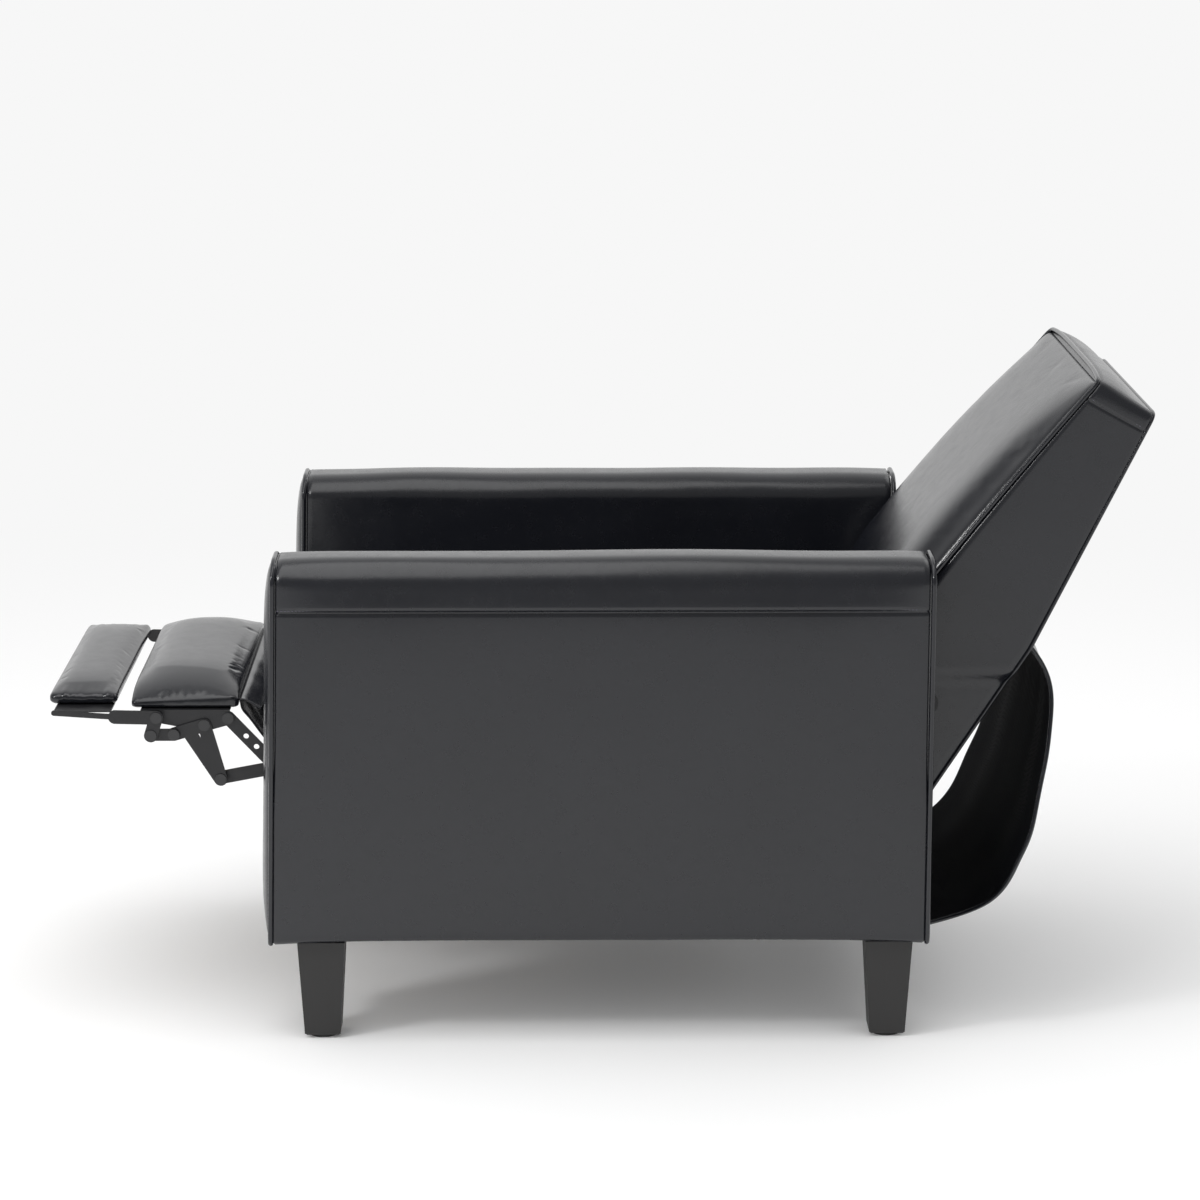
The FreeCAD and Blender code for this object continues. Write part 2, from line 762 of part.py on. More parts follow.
def solid_loft(wires):
    """A closed solid through upright sections, with its faces looking outwards."""
    solid = Part.makeLoft(wires, True, True)
    if solid.Volume < 0:
        solid.reverse()
    return solid


def cushion_wire(x, front, rear, bottom, edge, crown, drawn):
    """One upright section of a pad at a place across the chair: bottom, two sides and a crown."""
    front = front + drawn
    rear = rear - drawn
    top = bottom + edge
    corners = [FreeCAD.Vector(x, front, bottom), FreeCAD.Vector(x, rear, bottom),
               FreeCAD.Vector(x, rear, top), FreeCAD.Vector(x, front, top)]
    bulge = edge * SIDE_BULGE_SHARE
    middle = (bottom + top) / 2
    base = Part.LineSegment(corners[0], corners[1]).toShape()
    rear_side = Part.Arc(corners[1], FreeCAD.Vector(x, rear + bulge, middle), corners[2]).toShape()
    crown_top = FreeCAD.Vector(x, (front + rear) / 2, top + crown)
    roof = Part.Arc(corners[2], crown_top, corners[3]).toShape()
    front_side = Part.Arc(corners[3], FreeCAD.Vector(x, front - bulge, middle), corners[0]).toShape()
    return Part.Wire([base, rear_side, roof, front_side])


def crowned_pad(half_width, front, rear, bottom, edge, crown):
    """A pad with a crown over its length and width, and sides drawn in between its corners."""
    wires = []
    for width_share in mirrored(WIDTH_SHARES):
        full = 1 - abs(width_share) ** 8
        height = edge * (END_EDGE_SHARE + (1 - END_EDGE_SHARE) * full)
        rise = crown * (END_CROWN_SHARE + (1 - END_CROWN_SHARE) * crown_share(width_share))
        drawn = edge * SIDE_BULGE_SHARE + crown * (1 - full) / 2
        wires.append(cushion_wire(half_width * width_share, front, rear, bottom, height, rise, drawn))
    return solid_loft(wires)


def padded_board(name, front, rear, bottom, half_width, edge, crown, board):
    """A footrest pad whose underside takes its plywood board."""
    inset = SIZES["board_inset"]
    half = half_width.value
    form = crowned_pad(half, SIZES[front], SIZES[rear], SIZES[bottom], SIZES[edge], SIZES[crown])
    low = FreeCAD.Vector(-half + inset, SIZES[front] + inset, SIZES[bottom])
    hollow = Part.makeBox(2 * (half - inset), SIZES[rear] - SIZES[front] - 2 * inset, SIZES[board], low)
    soft = doc.addObject("Part::Feature", f"{name}_pad")
    soft.Shape = form.cut(hollow)
    keep(soft, soft.Name)
    side_x = half_width - s.board_inset
    front_y = getattr(s, front) + s.board_inset
    rear_y = getattr(s, rear) - s.board_inset
    corners = [(-side_x, front_y), (side_x, front_y), (side_x, rear_y), (-side_x, rear_y)]
    prism(f"{name}_board", "XY_Plane", corners, getattr(s, board), (ZERO, ZERO, getattr(s, bottom)))


# Seat


# The seat's rounded nose: how far back its top starts, and how far its middle swells with the crown

NOSE_DEPTH_SHARE = 0.35
NOSE_SET_BACK_SHARE = 0.02
NOSE_SWELL_SHARE = 0.21


def seat_cushion():
    """The seat cushion with its front apron: narrow between the links, wide above them."""
    front = SIZES["seat_front_y"]
    frame_front = SIZES["seat_frame_front_y"]
    bottom = SIZES["seat_cushion_z"]
    step_z = SIZES["seat_step_z"]
    top = SIZES["seat_top_z"]
    rear_low = SIZES["seat_rear_low_y"]
    rear_high = SIZES["seat_rear_high_y"]
    apron = SIZES["seat_rail_z"] + SIZES["board_inset"] * 2
    crown = SIZES["seat_crown"]
    narrow = SEAT_RAIL.value
    wide = SEAT_HALF.value
    nose = (top - apron) / 2

    def point(x, y, z):
        return FreeCAD.Vector(x, y, z)

    def upper(x, share):
        rise = crown * share
        a = point(x, front, step_z)
        b = point(x, front + nose * NOSE_DEPTH_SHARE, top)
        c = point(x, rear_high, top)
        d = point(x, rear_low + (rear_high - rear_low) * (step_z - bottom) / (top - bottom), step_z)
        swell = (step_z + top) / 2 + rise * NOSE_SWELL_SHARE
        nose_arc = Part.Arc(a, point(x, front + nose * NOSE_SET_BACK_SHARE, swell), b)
        roof = Part.Arc(b, point(x, (b.y + c.y) / 2, top + max(rise, SIZES["sling_gap"])), c)
        return Part.Wire([nose_arc.toShape(), roof.toShape(),
                          Part.LineSegment(c, d).toShape(), Part.LineSegment(d, a).toShape()])

    crowned = solid_loft([upper(wide * share, crown_share(share)) for share in mirrored(WIDTH_SHARES)])
    outline = [(front, apron), (front, step_z), (frame_front, step_z), (frame_front, apron)]
    lower = Part.makeBox(2 * narrow, rear_low - front, step_z - bottom, point(-narrow, front, bottom))
    face = Part.Face(Part.makePolygon([point(-narrow, y, z) for y, z in outline + outline[:1]]))
    front_apron = face.extrude(FreeCAD.Vector(2 * narrow, 0, 0))
    soft = doc.addObject("Part::Feature", "seat_cushion")
    soft.Shape = crowned.fuse([lower, front_apron]).removeSplitter()
    keep(soft, "seat_cushion")


# Back


def back_corners():
    """The corners of the back's side: low front, top front, top rear, kink and low rear."""
    low_front = FreeCAD.Vector(0, SIZES["low_front_y"], SIZES["low_front_z"])
    top_front = FreeCAD.Vector(0, SIZES["top_front_y"], SIZES["top_front_z"])
    along = (top_front - low_front).normalize()
    inward = FreeCAD.Vector(0, along.z, -along.y)
    top_rear = top_front + along * SIZES["top_rear_lead"] + inward * SIZES["top_rear_depth"]
    kink = top_front - along * SIZES["kink_drop"] + inward * SIZES["kink_depth"]
    low_rear = low_front + along * SIZES["low_rear_lead"] + inward * SIZES["low_rear_depth"]
    return [low_front, top_front, top_rear, kink, low_rear]


def back_cover():
    """The boxed cover: sides, top and rear in one shell that the front cushion closes."""
    corners = back_corners()
    wall = SIZES["back_wall"]
    neck_z = SIZES["back_neck_z"]
    wide = BACK_HALF.value
    narrow = BACK_NECK_HALF.value
    along = (corners[1] - corners[0]).normalize()
    inward = FreeCAD.Vector(0, along.z, -along.y)

    def slab(outline, half):
        face = Part.Face(Part.makePolygon(outline + outline[:1]))
        face.translate(FreeCAD.Vector(-half, 0, 0))
        return face.extrude(FreeCAD.Vector(2 * half, 0, 0))

    whole = slab(corners, wide)
    far = corners[2].y
    lower = Part.makeBox(4 * wide, 2 * far, neck_z, FreeCAD.Vector(-2 * wide, 0, 0))
    neck = slab(corners, narrow)
    outer = whole.cut(lower).fuse(neck).removeSplitter()
    cushion = SIZES["back_cushion"]
    beyond = SIZES["back_cushion"]
    front_cut = [corners[0] - along * beyond, corners[1] + along * beyond]
    front_cut += [front_cut[1] + inward * cushion, front_cut[0] + inward * cushion]
    opening = slab(front_cut, 2 * wide)
    hollow_outline = inset_outline(corners, wall)
    hollow = slab(hollow_outline, narrow - wall)
    cover = doc.addObject("Part::Feature", "back_cover")
    cover.Shape = outer.cut([opening, hollow])
    keep(cover, "back_cover")
    return corners, along, inward


def inset_outline(corners, wall):
    """The same outline with every side moved inwards by a wall. The corners run clockwise in Y, Z."""
    count = len(corners)
    lines = []
    for i in range(count):
        a, b = corners[i], corners[(i + 1) % count]
        direction = (b - a).normalize()
        inward = FreeCAD.Vector(0, direction.z, -direction.y)
        lines.append((a + inward * wall, direction))
    result = []
    for i in range(count):
        (p, d), (q, e) = lines[i - 1], lines[i]
        cross = d.y * e.z - d.z * e.y
        t = ((q.y - p.y) * e.z - (q.z - p.z) * e.y) / cross
        result.append(p + d * t)
    return result


def back_cushion(corners, along, inward):
    """The front cushion of the back, crowned over its length and width."""
    length = (corners[1] - corners[0]).Length
    thick = SIZES["back_cushion"]
    crown = SIZES["back_crown"]
    shoulder = SIZES["piping_radius"] * 3

    def section(share, set_back):
        def at(u, w):
            return corners[0] + along * u + inward * w + FreeCAD.Vector(wide * share, 0, 0)

        rise = crown * crown_share(share)
        end = length - shoulder
        face = Part.Arc(at(0, set_back), at(end / 2, set_back - rise), at(end, set_back)).toShape()
        lines = [Part.LineSegment(a, b).toShape() for a, b in (
            (at(end, set_back), at(length, set_back + shoulder)),
            (at(length, set_back + shoulder), at(length, thick)),
            (at(length, thick), at(0, thick)), (at(0, thick), at(0, set_back)))]
        return Part.Wire([face] + lines)

    wide = BACK_HALF.value
    narrow = BACK_NECK_HALF.value
    inner = 1 - shoulder / wide
    inner_shares = [share * inner for share in mirrored(WIDTH_SHARES)]
    sections = [section(-1, shoulder)] + [section(share, 0) for share in inner_shares]
    upper = solid_loft(sections + [section(1, shoulder)])
    far = corners[2].y
    for direction in (-1, 1):
        start = narrow if direction > 0 else -narrow - wide
        corner = FreeCAD.Vector(start, 0, 0)
        upper = upper.cut(Part.makeBox(wide, 2 * far, SIZES["back_neck_z"], corner))
    soft = doc.addObject("Part::Feature", "back_cushion")
    soft.Shape = upper
    keep(soft, "back_cushion")


# The back's cross rails along its side rails, and its webbing across its width

BACK_RAIL_SHARES = (0, 0.45, 1)
BACK_BAND_SHARES = (-0.6, -0.2, 0.2, 0.6)


def back_frame(corners, along, inward):
    """Two long rails and three cross rails inside the cover, behind the cushion."""
    narrow = BACK_NECK_HALF.value - SIZES["back_wall"]
    thick = SIZES["back_rail_thickness"]
    depth = SIZES["back_rail_depth"]
    width = SIZES["back_rail_width"]
    cushion = SIZES["back_cushion"]
    web = SIZES["webbing"]
    turn = FreeCAD.Rotation(FreeCAD.Vector(1, 0, 0), -math.degrees(math.atan2(along.y, along.z)))
    start = SIZES["back_rail_start"]
    length = (corners[1] - corners[0]).Length - start - SIZES["board_inset"]

    def bar(name, x, u, w, size_x, size_w, size_u):
        solid = doc.addObject("Part::Feature", name)
        solid.Shape = Part.makeBox(size_x, size_w, size_u)
        base = corners[0] + along * u + inward * w + FreeCAD.Vector(x, 0, 0)
        solid.Placement = FreeCAD.Placement(base, turn)
        return solid

    low_w = cushion + web
    sides = [bar("SideRail", x, start, low_w, thick, depth, length)
             for x in (-narrow, narrow - thick)]
    group("back_side_rails", sides)
    inner = narrow - thick
    cross = [bar("CrossRail", -inner, start + (length - width) * share, low_w,
                 2 * inner, depth, width) for share in BACK_RAIL_SHARES]
    group("back_cross_rails", cross)
    band = SIZES["webbing_width"]
    bands = [bar("Band", inner * share - band / 2, start, cushion, band, web, length)
             for share in BACK_BAND_SHARES]
    group("back_webbing", bands)


def back_piping():
    """The welt that runs up both front edges of the back and across its top."""
    corners = back_corners()
    radius = SIZES["piping_radius"]
    along = (corners[1] - corners[0]).normalize()
    wide = BACK_HALF.value - radius
    neck = (SIZES["back_neck_z"] - corners[0].z) / along.z
    length = (corners[1] - corners[0]).Length - radius
    corner = SIZES["welt_corner"]

    def at(x, u):
        return corners[0] + along * u + FreeCAD.Vector(x, 0, 0)

    cut = corner * (1 - math.sqrt(0.5))
    points = [at(-wide, neck), at(-wide, length - corner), at(-wide + cut, length - cut),
              at(-wide + corner, length), at(wide - corner, length), at(wide - cut, length - cut),
              at(wide, length - corner), at(wide, neck)]
    path = Part.Wire([
        Part.LineSegment(points[0], points[1]).toShape(),
        Part.Arc(points[1], points[2], points[3]).toShape(),
        Part.LineSegment(points[3], points[4]).toShape(),
        Part.Arc(points[4], points[5], points[6]).toShape(),
        Part.LineSegment(points[6], points[7]).toShape(),
    ])
    profile = Part.Wire(Part.makeCircle(radius, points[0], along))
    welt = doc.addObject("Part::Feature", "back_piping")
    welt.Shape = path.makePipeShell([profile], True, False)
    keep(welt, "back_piping")


# Sling behind the base and flap before the seat


# The main folds across each hanging sheet, and how many points at its lower hem they leave straight

SLING_FOLD_SHARES = (0, 0.8, -0.7, 1, -0.5, 0.7, -1, 0.5, -0.8, 1, -0.6, 0.7, 0)
FLAP_FOLD_SHARES = (0, 1, -0.7, 0.8, -1, 0.6, 0)
FOLD_TUCK_POINTS = 3


def sheet_side(points):
    """The line of one face of a sheet: a straight hem, then arcs through every other point."""
    hem = Part.LineSegment(points[0], points[1]).toShape()
    bent = points[1:]
    arcs = [Part.Arc(p, q, r).toShape() for p, q, r in zip(bent[0::2], bent[1::2], bent[2::2])]
    return [hem] + arcs


def sheet_section(x, line, thickness, fold):
    """One upright section of a sheet, between its line and the same line a thickness away.

    The fold moves the middle of the line outwards and leaves both hems where they are."""
    last = len(line) - 1
    normals = []
    free = []
    for i in range(len(line)):
        ahead = (line[min(i + 1, last)] - line[max(i - 1, 0)]).normalize()
        normals.append(FreeCAD.Vector(0, ahead.z, -ahead.y))
        way = (i - 1) / (last - FOLD_TUCK_POINTS)
        free.append(math.sin(math.pi * max(0, min(1, way))))
    normals[0] = normals[1]
    across = FreeCAD.Vector(x, 0, 0)
    outer = [across + point - normal * fold * share for point, normal, share in zip(line, normals, free)]
    inner = [point + normal * thickness for point, normal in zip(outer, normals)]
    tail = Part.LineSegment(outer[-1], inner[-1]).toShape()
    head = Part.LineSegment(inner[0], outer[0]).toShape()
    return Part.Wire(sheet_side(outer) + [tail] + sheet_side(inner)[::-1] + [head])


def folded_sheet(line, thickness, half, fold, shares):
    """A sheet across the chair, with its main folds as a ruled loft through upright sections."""
    last = len(shares) - 1
    return solid_loft([sheet_section(half * (2 * i / last - 1), line, thickness, fold * share)
                       for i, share in enumerate(shares)])


# The sling's side view below the kink, as shares of the drop from the kink to the rail

SLING_OUT_SHARES = (0.0245, 0.0728, 0.081, 0.0728, 0.0592, 0.0292, -0.0035, -0.0499, -0.0772, -0.1263,
                    -0.2053, -0.2844, -0.3581, -0.4527)
SLING_DROP_SHARES = (0.0436, 0.0982, 0.1691, 0.2536, 0.3627, 0.48, 0.6463, 0.7418, 0.8154, 0.8999,
                     0.9599, 0.9973, 1.0117, 1)

# The flap's side view, as shares of its reach from the seat to the footrest, and where its hem is

FLAP_FRONT_SHARES = (0, 0, 0.08, 0.22, 0.4, 0.55, 0.79, 0.982)
FLAP_DROP_SHARES = (0, 0.2, 0.41, 0.52, 0.44, 0.24, -0.12, -0.4)
FLAP_HEM_SHARE = 0.22


def rear_sling():
    """The leather sheet from the back's rear edge down to the rear rail, widest halfway."""
    corners = back_corners()
    kink = corners[3]
    rise = (corners[2] - kink).normalize()
    outward = FreeCAD.Vector(0, rise.z, -rise.y)
    thickness = SIZES["sling"]
    floor = SIZES["arm_bottom_z"] - thickness
    drop = kink.z - floor
    hem = kink + outward * (thickness + SIZES["sling_gap"])
    line = [hem + rise * SIZES["sling_hem"], hem]
    line += [FreeCAD.Vector(0, kink.y + drop * out_share, kink.z - drop * drop_share)
             for out_share, drop_share in zip(SLING_OUT_SHARES, SLING_DROP_SHARES)]
    wide = SLING_LOW_HALF.value
    top = SLING_TOP_HALF.value
    rail_half = ARM_INNER.value - SIZES["sling_gap"]
    whole = folded_sheet(line, thickness, wide, SIZES["sling_fold"], SLING_FOLD_SHARES)
    half = [(rail_half, 0), (rail_half, floor + thickness * 2), (wide, floor + drop / 4), (top, kink.z),
            (top, kink.z + drop)]
    outline = [FreeCAD.Vector(x, 0, z) for x, z in half] + [FreeCAD.Vector(-x, 0, z) for x, z in half[::-1]]
    far = FreeCAD.Vector(0, 2 * corners[2].y, 0)
    mask = Part.Face(Part.makePolygon(outline + outline[:1])).extrude(far)
    trimmed = whole.common(mask)
    sling = doc.addObject("Part::Feature", "rear_sling")
    sling.Shape = trimmed.cut(rail_box(REAR_RAIL_Y.value, SIZES["arm_bottom_z"], SIZES["rear_rail_height"]))
    keep(sling, "rear_sling")


def rail_box(middle_y, bottom, height):
    half = SIZES["arm_outer_x"] - SIZES["arm_thickness"]
    depth = SIZES["rail_thickness"]
    return Part.makeBox(2 * half, depth, height, FreeCAD.Vector(-half, middle_y - depth / 2, bottom))


def front_flap():
    """The slack flap from the seat's apron to the rear edge of the footrest."""
    reach = SIZES["seat_front_y"] - SIZES["footrest_back_y"]
    hem = SIZES["seat_step_z"] - reach * FLAP_HEM_SHARE
    front = SIZES["seat_front_y"] - SIZES["sling_gap"]
    line = [FreeCAD.Vector(0, front - reach * front_share, hem - reach * drop_share)
            for front_share, drop_share in zip(FLAP_FRONT_SHARES, FLAP_DROP_SHARES)]
    flap = doc.addObject("Part::Feature", "front_flap")
    flap.Shape = folded_sheet(line, SIZES["flap"], FLAP_HALF.value, SIZES["flap_fold"], FLAP_FOLD_SHARES)
    keep(flap, "front_flap")


# The whole chair


def between(start, end, share):
    """A place at a share of the way between two places."""
    return tuple(a + (b - a) * share for a, b in zip(start, end))


def build_base():
    arm("right", 1)
    arm("left", -1)
    legs = (("front_right", 1, s.front_leg_y), ("front_left", -1, s.front_leg_y),
            ("rear_right", 1, REAR_LEG_Y), ("rear_left", -1, REAR_LEG_Y))
    glides = []
    bolts = []
    bolt_top = s.arm_bottom_z + s.arm_wall + s.arm_rail_height
    for name, side, leg_y in legs:
        leg(name, side, leg_y)
        x = s.leg_x if side > 0 else -s.leg_x
        glides.append(upright_cylinder(x, leg_y, ZERO, s.glide_height, s.glide_radius))
        bolts.append(upright_cylinder(x, leg_y, s.arm_bottom_z - s.bolt_grip, bolt_top, s.bolt_radius))
    group("leg_glides", glides)
    group("hanger_bolts", bolts)
    rails = (("front_cross_rail", s.front_rail_y, s.front_rail_z, s.front_rail_height),
             ("rear_cross_rail", REAR_RAIL_Y, s.arm_bottom_z, s.rear_rail_height))
    for name, rail_y, bottom, height in rails:
        low = rail_y - s.rail_thickness / 2
        high = rail_y + s.rail_thickness / 2
        corners = [(-ARM_INNER, low), (ARM_INNER, low), (ARM_INNER, high), (-ARM_INNER, high)]
        prism(name, "XY_Plane", corners, height, (ZERO, ZERO, bottom))
    strip = ((s.base_strip_start_y, s.base_strip_z), (STRIP_END_Y, s.base_strip_z))
    riser_foot = (s.back_pivot_y - s.lug_half_width, s.base_strip_z)
    arms = [
        (*strip, s.strip_half_width),
        (riser_foot, BACK_PIVOT, s.riser_half_width),
        ((s.rod_base_y, s.base_strip_z), ROD_BASE, s.lug_half_width),
    ]
    holes = [(place, HOLE) for place in (FRONT_SWING, REAR_SWING, BACK_PIVOT, ROD_BASE)]
    for name, side in (("right", 1), ("left", -1)):
        plate_node(f"base_plate_{name}", side, BASE_LAYER, s.base_plate, arms, holes)
    clear = s.bush_clearance
    swing_side = SWING_LAYER + s.plate + clear
    rivets("base_rivets", [
        (FRONT_SWING, SWING_LAYER - s.rivet_clearance, ARM_INNER, True, False,
         (swing_side, BASE_LAYER)),
        (REAR_SWING, SWING_LAYER - s.rivet_clearance, ARM_INNER, True, False,
         (swing_side, BASE_LAYER)),
        (BACK_PIVOT, MIDDLE_LAYER + s.rivet_clearance, ARM_INNER, False, False,
         (MIDDLE_LAYER + s.plate + clear, BASE_LAYER)),
        (ROD_BASE, CROSS_LAYER + s.plate + s.open_pivot_gap, ARM_INNER, False, False,
         (MIDDLE_LAYER, BASE_LAYER)),
    ])
    rear_sling()


# The seat's webbing along its side rails, and the spare holes along the cross link

SEAT_BAND_SHARES = (0.06, 0.2, 0.34, 0.48, 0.62, 0.76, 0.9)
SPARE_HOLE_SHARES = (0.367, 0.578)
PLATE_SHOULDER_SHARE = 0.55


def build_seat():
    low_z = s.seat_rail_z
    high_z = s.seat_rail_z + s.seat_rail_height
    front = s.seat_frame_front_y
    rear = s.seat_frame_rear_y
    outer = SEAT_RAIL
    inner = SEAT_RAIL - s.seat_rail_thickness
    group("seat_side_rails", [
        box((inner, front, low_z), (outer, rear, high_z)),
        box((-outer, front, low_z), (-inner, rear, high_z)),
    ])
    group("seat_cross_rails", [
        box((-inner, front, low_z), (inner, front + s.seat_rail_thickness, high_z)),
        box((-inner, rear - s.seat_rail_thickness, low_z), (inner, rear, high_z)),
    ])
    bands = []
    for share in SEAT_BAND_SHARES:
        start = front + (rear - front) * share
        bands.append(box((-outer, start, high_z), (outer, start + s.webbing_width, high_z + s.webbing)))
    group("seat_webbing", bands)
    seat_cushion()
    arms = [
        ((s.seat_plate_start_y, s.seat_plate_z), (s.seat_plate_end_y, s.seat_plate_z),
         s.seat_plate_half_width),
        ((s.seat_plate_start_y, s.seat_plate_z), LONG_PIVOT, s.seat_arm_half_width),
        ((s.seat_plate_start_y, s.seat_plate_z), ROCKER, s.seat_arm_half_width),
    ]
    holes = [(place, HOLE) for place in
             (LONG_PIVOT, ROCKER, FRONT_SWING_TOP, REAR_SWING_TOP, PUSH_PIN)]
    shelf_low = s.seat_plate_z - s.seat_plate_half_width
    shelf = ((s.seat_shelf_start_y, shelf_low), (s.seat_shelf_end_y, shelf_low + s.plate),
             MIDDLE_LAYER + s.plate - (ARM_INNER - s.shelf_depth))
    for name, side in (("right", 1), ("left", -1)):
        plate_node(f"seat_plate_{name}", side, MIDDLE_LAYER, s.plate, arms, holes, shelf)
    plate_out = MIDDLE_LAYER + s.plate
    swing_in = SWING_LAYER - s.bush_clearance
    swing_out = SWING_LAYER + s.plate + s.rivet_clearance
    open_end = SWING_LAYER - s.open_pivot_gap
    rivets("seat_rivets", [
        (LONG_PIVOT, LONG_LAYER - s.rivet_clearance, plate_out, True, True,
         (LONG_LAYER + s.plate + s.bush_clearance, MIDDLE_LAYER)),
        (ROCKER, BRACKET_LAYER, plate_out, False, True),
        (FRONT_SWING_TOP, MIDDLE_LAYER, swing_out, True, True, (plate_out, swing_in)),
        (REAR_SWING_TOP, MIDDLE_LAYER, open_end, True),
        (PUSH_PIN, MIDDLE_LAYER, open_end, True),
    ])
    front_flap()


def build_back():
    back_piping()
    corners, along, inward = back_cover()
    back_cushion(corners, along, inward)
    back_frame(corners, along, inward)
    arms = [
        (BACK_LEVER, BACK_PIVOT, s.lever_half_width),
        (BACK_PIVOT, (s.back_plate_end_y, s.back_plate_end_z), s.lever_half_width),
    ]
    holes = [(BACK_PIVOT, HOLE), (BACK_LEVER, HOLE)]
    for name, side in (("right", 1), ("left", -1)):
        plate_node(f"back_bracket_{name}", side, MIDDLE_LAYER, s.plate, arms, holes)
    plate_out = MIDDLE_LAYER + s.plate
    rivets("back_rivets", [
        (BACK_LEVER, MIDDLE_LAYER, SWING_LAYER + s.plate + s.rivet_clearance, True, True,
         (plate_out, SWING_LAYER - s.bush_clearance)),
    ])


def build_links():
    """Swing links and push links under the seat, and the folding linkage of the footrest."""
    width = s.link_half_width

    def pair(name, layer, arms, places, extra=()):
        plate_pair(name, layer, s.plate, arms, [(place, HOLE) for place in places] + list(extra))

    pair("front_swing_links", SWING_LAYER, [(FRONT_SWING, FRONT_SWING_TOP, width)],
         (FRONT_SWING, FRONT_SWING_TOP))
    pair("rear_swing_links", SWING_LAYER, [(REAR_SWING, REAR_SWING_TOP, width)],
         (REAR_SWING, REAR_SWING_TOP))
    middle = between(REAR_SWING, REAR_SWING_TOP, 0.5)
    tube = pin(1, middle, -SWING_LAYER, SWING_LAYER, s.tube_radius)
    bore = pin(1, middle, -SWING_LAYER, SWING_LAYER, s.tube_radius - s.tube_wall)
    hollow = doc.addObject("Part::Cut", "cross_tube")
    hollow.Base = tube
    hollow.Tool = bore
    keep(hollow, "cross_tube")
    pair("push_links", SWING_LAYER, [(PUSH_PIN, BACK_LEVER, width)], (PUSH_PIN, BACK_LEVER))
    pair("long_links", LONG_LAYER, [(LONG_PIVOT, SCISSOR, width), (SCISSOR, PLATE_LOW, width)],
         (LONG_PIVOT, SCISSOR, PLATE_LOW))
    spare = [(between(FOOTREST_REAR, SCISSOR, share), s.spare_hole_radius) for share in SPARE_HOLE_SHARES]
    pair("cross_links", CROSS_LAYER,
         [(FOOTREST_REAR, SCISSOR, width), (SCISSOR, ROCKER_PIN, width)],
         (FOOTREST_REAR, SCISSOR, ROCKER_PIN), spare)
    shoulder = between(PLATE_MID, PLATE_FRONT, PLATE_SHOULDER_SHARE)
    pair("three_hole_plates", MIDDLE_LAYER,
         [(PLATE_LOW, PLATE_MID, width), (PLATE_MID, PLATE_FRONT, width), (PLATE_LOW, shoulder, width)],
         (PLATE_LOW, PLATE_MID, PLATE_FRONT))
    pair("short_links", SHORT_LAYER, [(PLATE_FRONT, FLIPPER_DRIVE, s.short_link_half_width)],
         (PLATE_FRONT, FLIPPER_DRIVE))
    pair("rocker_links", BRACKET_LAYER, [(ROCKER_PIN, ROCKER, width), (ROCKER, ROD_PIN, width)],
         (ROCKER_PIN, ROCKER, ROD_PIN))
    pair("drive_rods", CROSS_LAYER, [(ROD_PIN, ROD_BASE, width)], (ROD_PIN, ROD_BASE))
    rivets("cross_link_rivets", [
        (SCISSOR, LONG_LAYER - s.rivet_clearance, CROSS_LAYER + s.plate, True),
        (FOOTREST_REAR, CROSS_LAYER, BRACKET_LAYER + s.plate + s.rivet_clearance, True, True),
        (ROCKER_PIN, CROSS_LAYER, BRACKET_LAYER - s.open_pivot_gap, True),
    ])
    rivets("plate_rivets", [
        (PLATE_LOW, LONG_LAYER + s.plate + s.open_pivot_gap, MIDDLE_LAYER + s.plate, False, True),
        (PLATE_FRONT, MIDDLE_LAYER, SHORT_LAYER + s.plate + s.rivet_clearance, False, True),
    ])
    rivets("rocker_rivets", [
        (ROD_PIN, CROSS_LAYER, BRACKET_LAYER + s.plate),
    ])


def build_footrest():
    padded_board("footrest", "footrest_front_y", "footrest_back_y", "footrest_z",
                 FOOTREST_HALF, "footrest_edge", "footrest_crown", "footrest_board")
    padded_board("flipper", "flipper_front_y", "flipper_back_y", "flipper_z",
                 FLIPPER_HALF, "flipper_edge", "flipper_crown", "flipper_board")
    width = s.link_half_width
    arms = [(FOOTREST_REAR, PLATE_MID, width), (PLATE_MID, FLIPPER_PIN, width),
            (FLIPPER_PIN, FOOTREST_REAR, width)]
    holes = [(place, HOLE) for place in (FOOTREST_REAR, PLATE_MID, FLIPPER_PIN)]
    shelf = ((s.footrest_front_y + s.board_inset, s.footrest_z - s.plate),
             (s.footrest_back_y - s.board_inset, s.footrest_z), s.bracket_shelf_reach)
    for name, side in (("right", 1), ("left", -1)):
        plate_node(f"footrest_bracket_{name}", side, BRACKET_LAYER, s.plate, arms, holes, shelf)
    web = (s.flipper_web_y, s.flipper_web_z)
    tip = (s.flipper_tip_y, s.flipper_tip_z)
    arms = [(FLIPPER_DRIVE, FLIPPER_PIN, width), (FLIPPER_PIN, web, s.flipper_web_half_width),
            (web, tip, s.flipper_tip_half_width)]
    holes = [(FLIPPER_DRIVE, HOLE), (FLIPPER_PIN, HOLE)]
    shelf = ((s.flipper_tip_y, s.flipper_z - s.plate), (s.flipper_back_y - s.board_inset / 2, s.flipper_z),
             FLIPPER_LAYER + s.plate - (ARM_INNER - s.flipper_shelf_depth))
    for name, side in (("right", 1), ("left", -1)):
        plate_node(f"flipper_bracket_{name}", side, FLIPPER_LAYER, s.plate, arms, holes, shelf)
    rivets("footrest_rivets", [
        (PLATE_MID, BRACKET_LAYER, MIDDLE_LAYER + s.plate + s.rivet_clearance, True, True),
        (FLIPPER_PIN, BRACKET_LAYER, FLIPPER_LAYER + s.plate + s.rivet_clearance, False, True),
    ])
    rivets("flipper_rivets", [
        (FLIPPER_DRIVE, SHORT_LAYER + s.plate + s.open_pivot_gap, FLIPPER_LAYER + s.plate, False, True),
    ])


build_base()
build_seat()
build_back()
build_links()
build_footrest()
doc.recompute()

# Put the origin under the middle of the chair

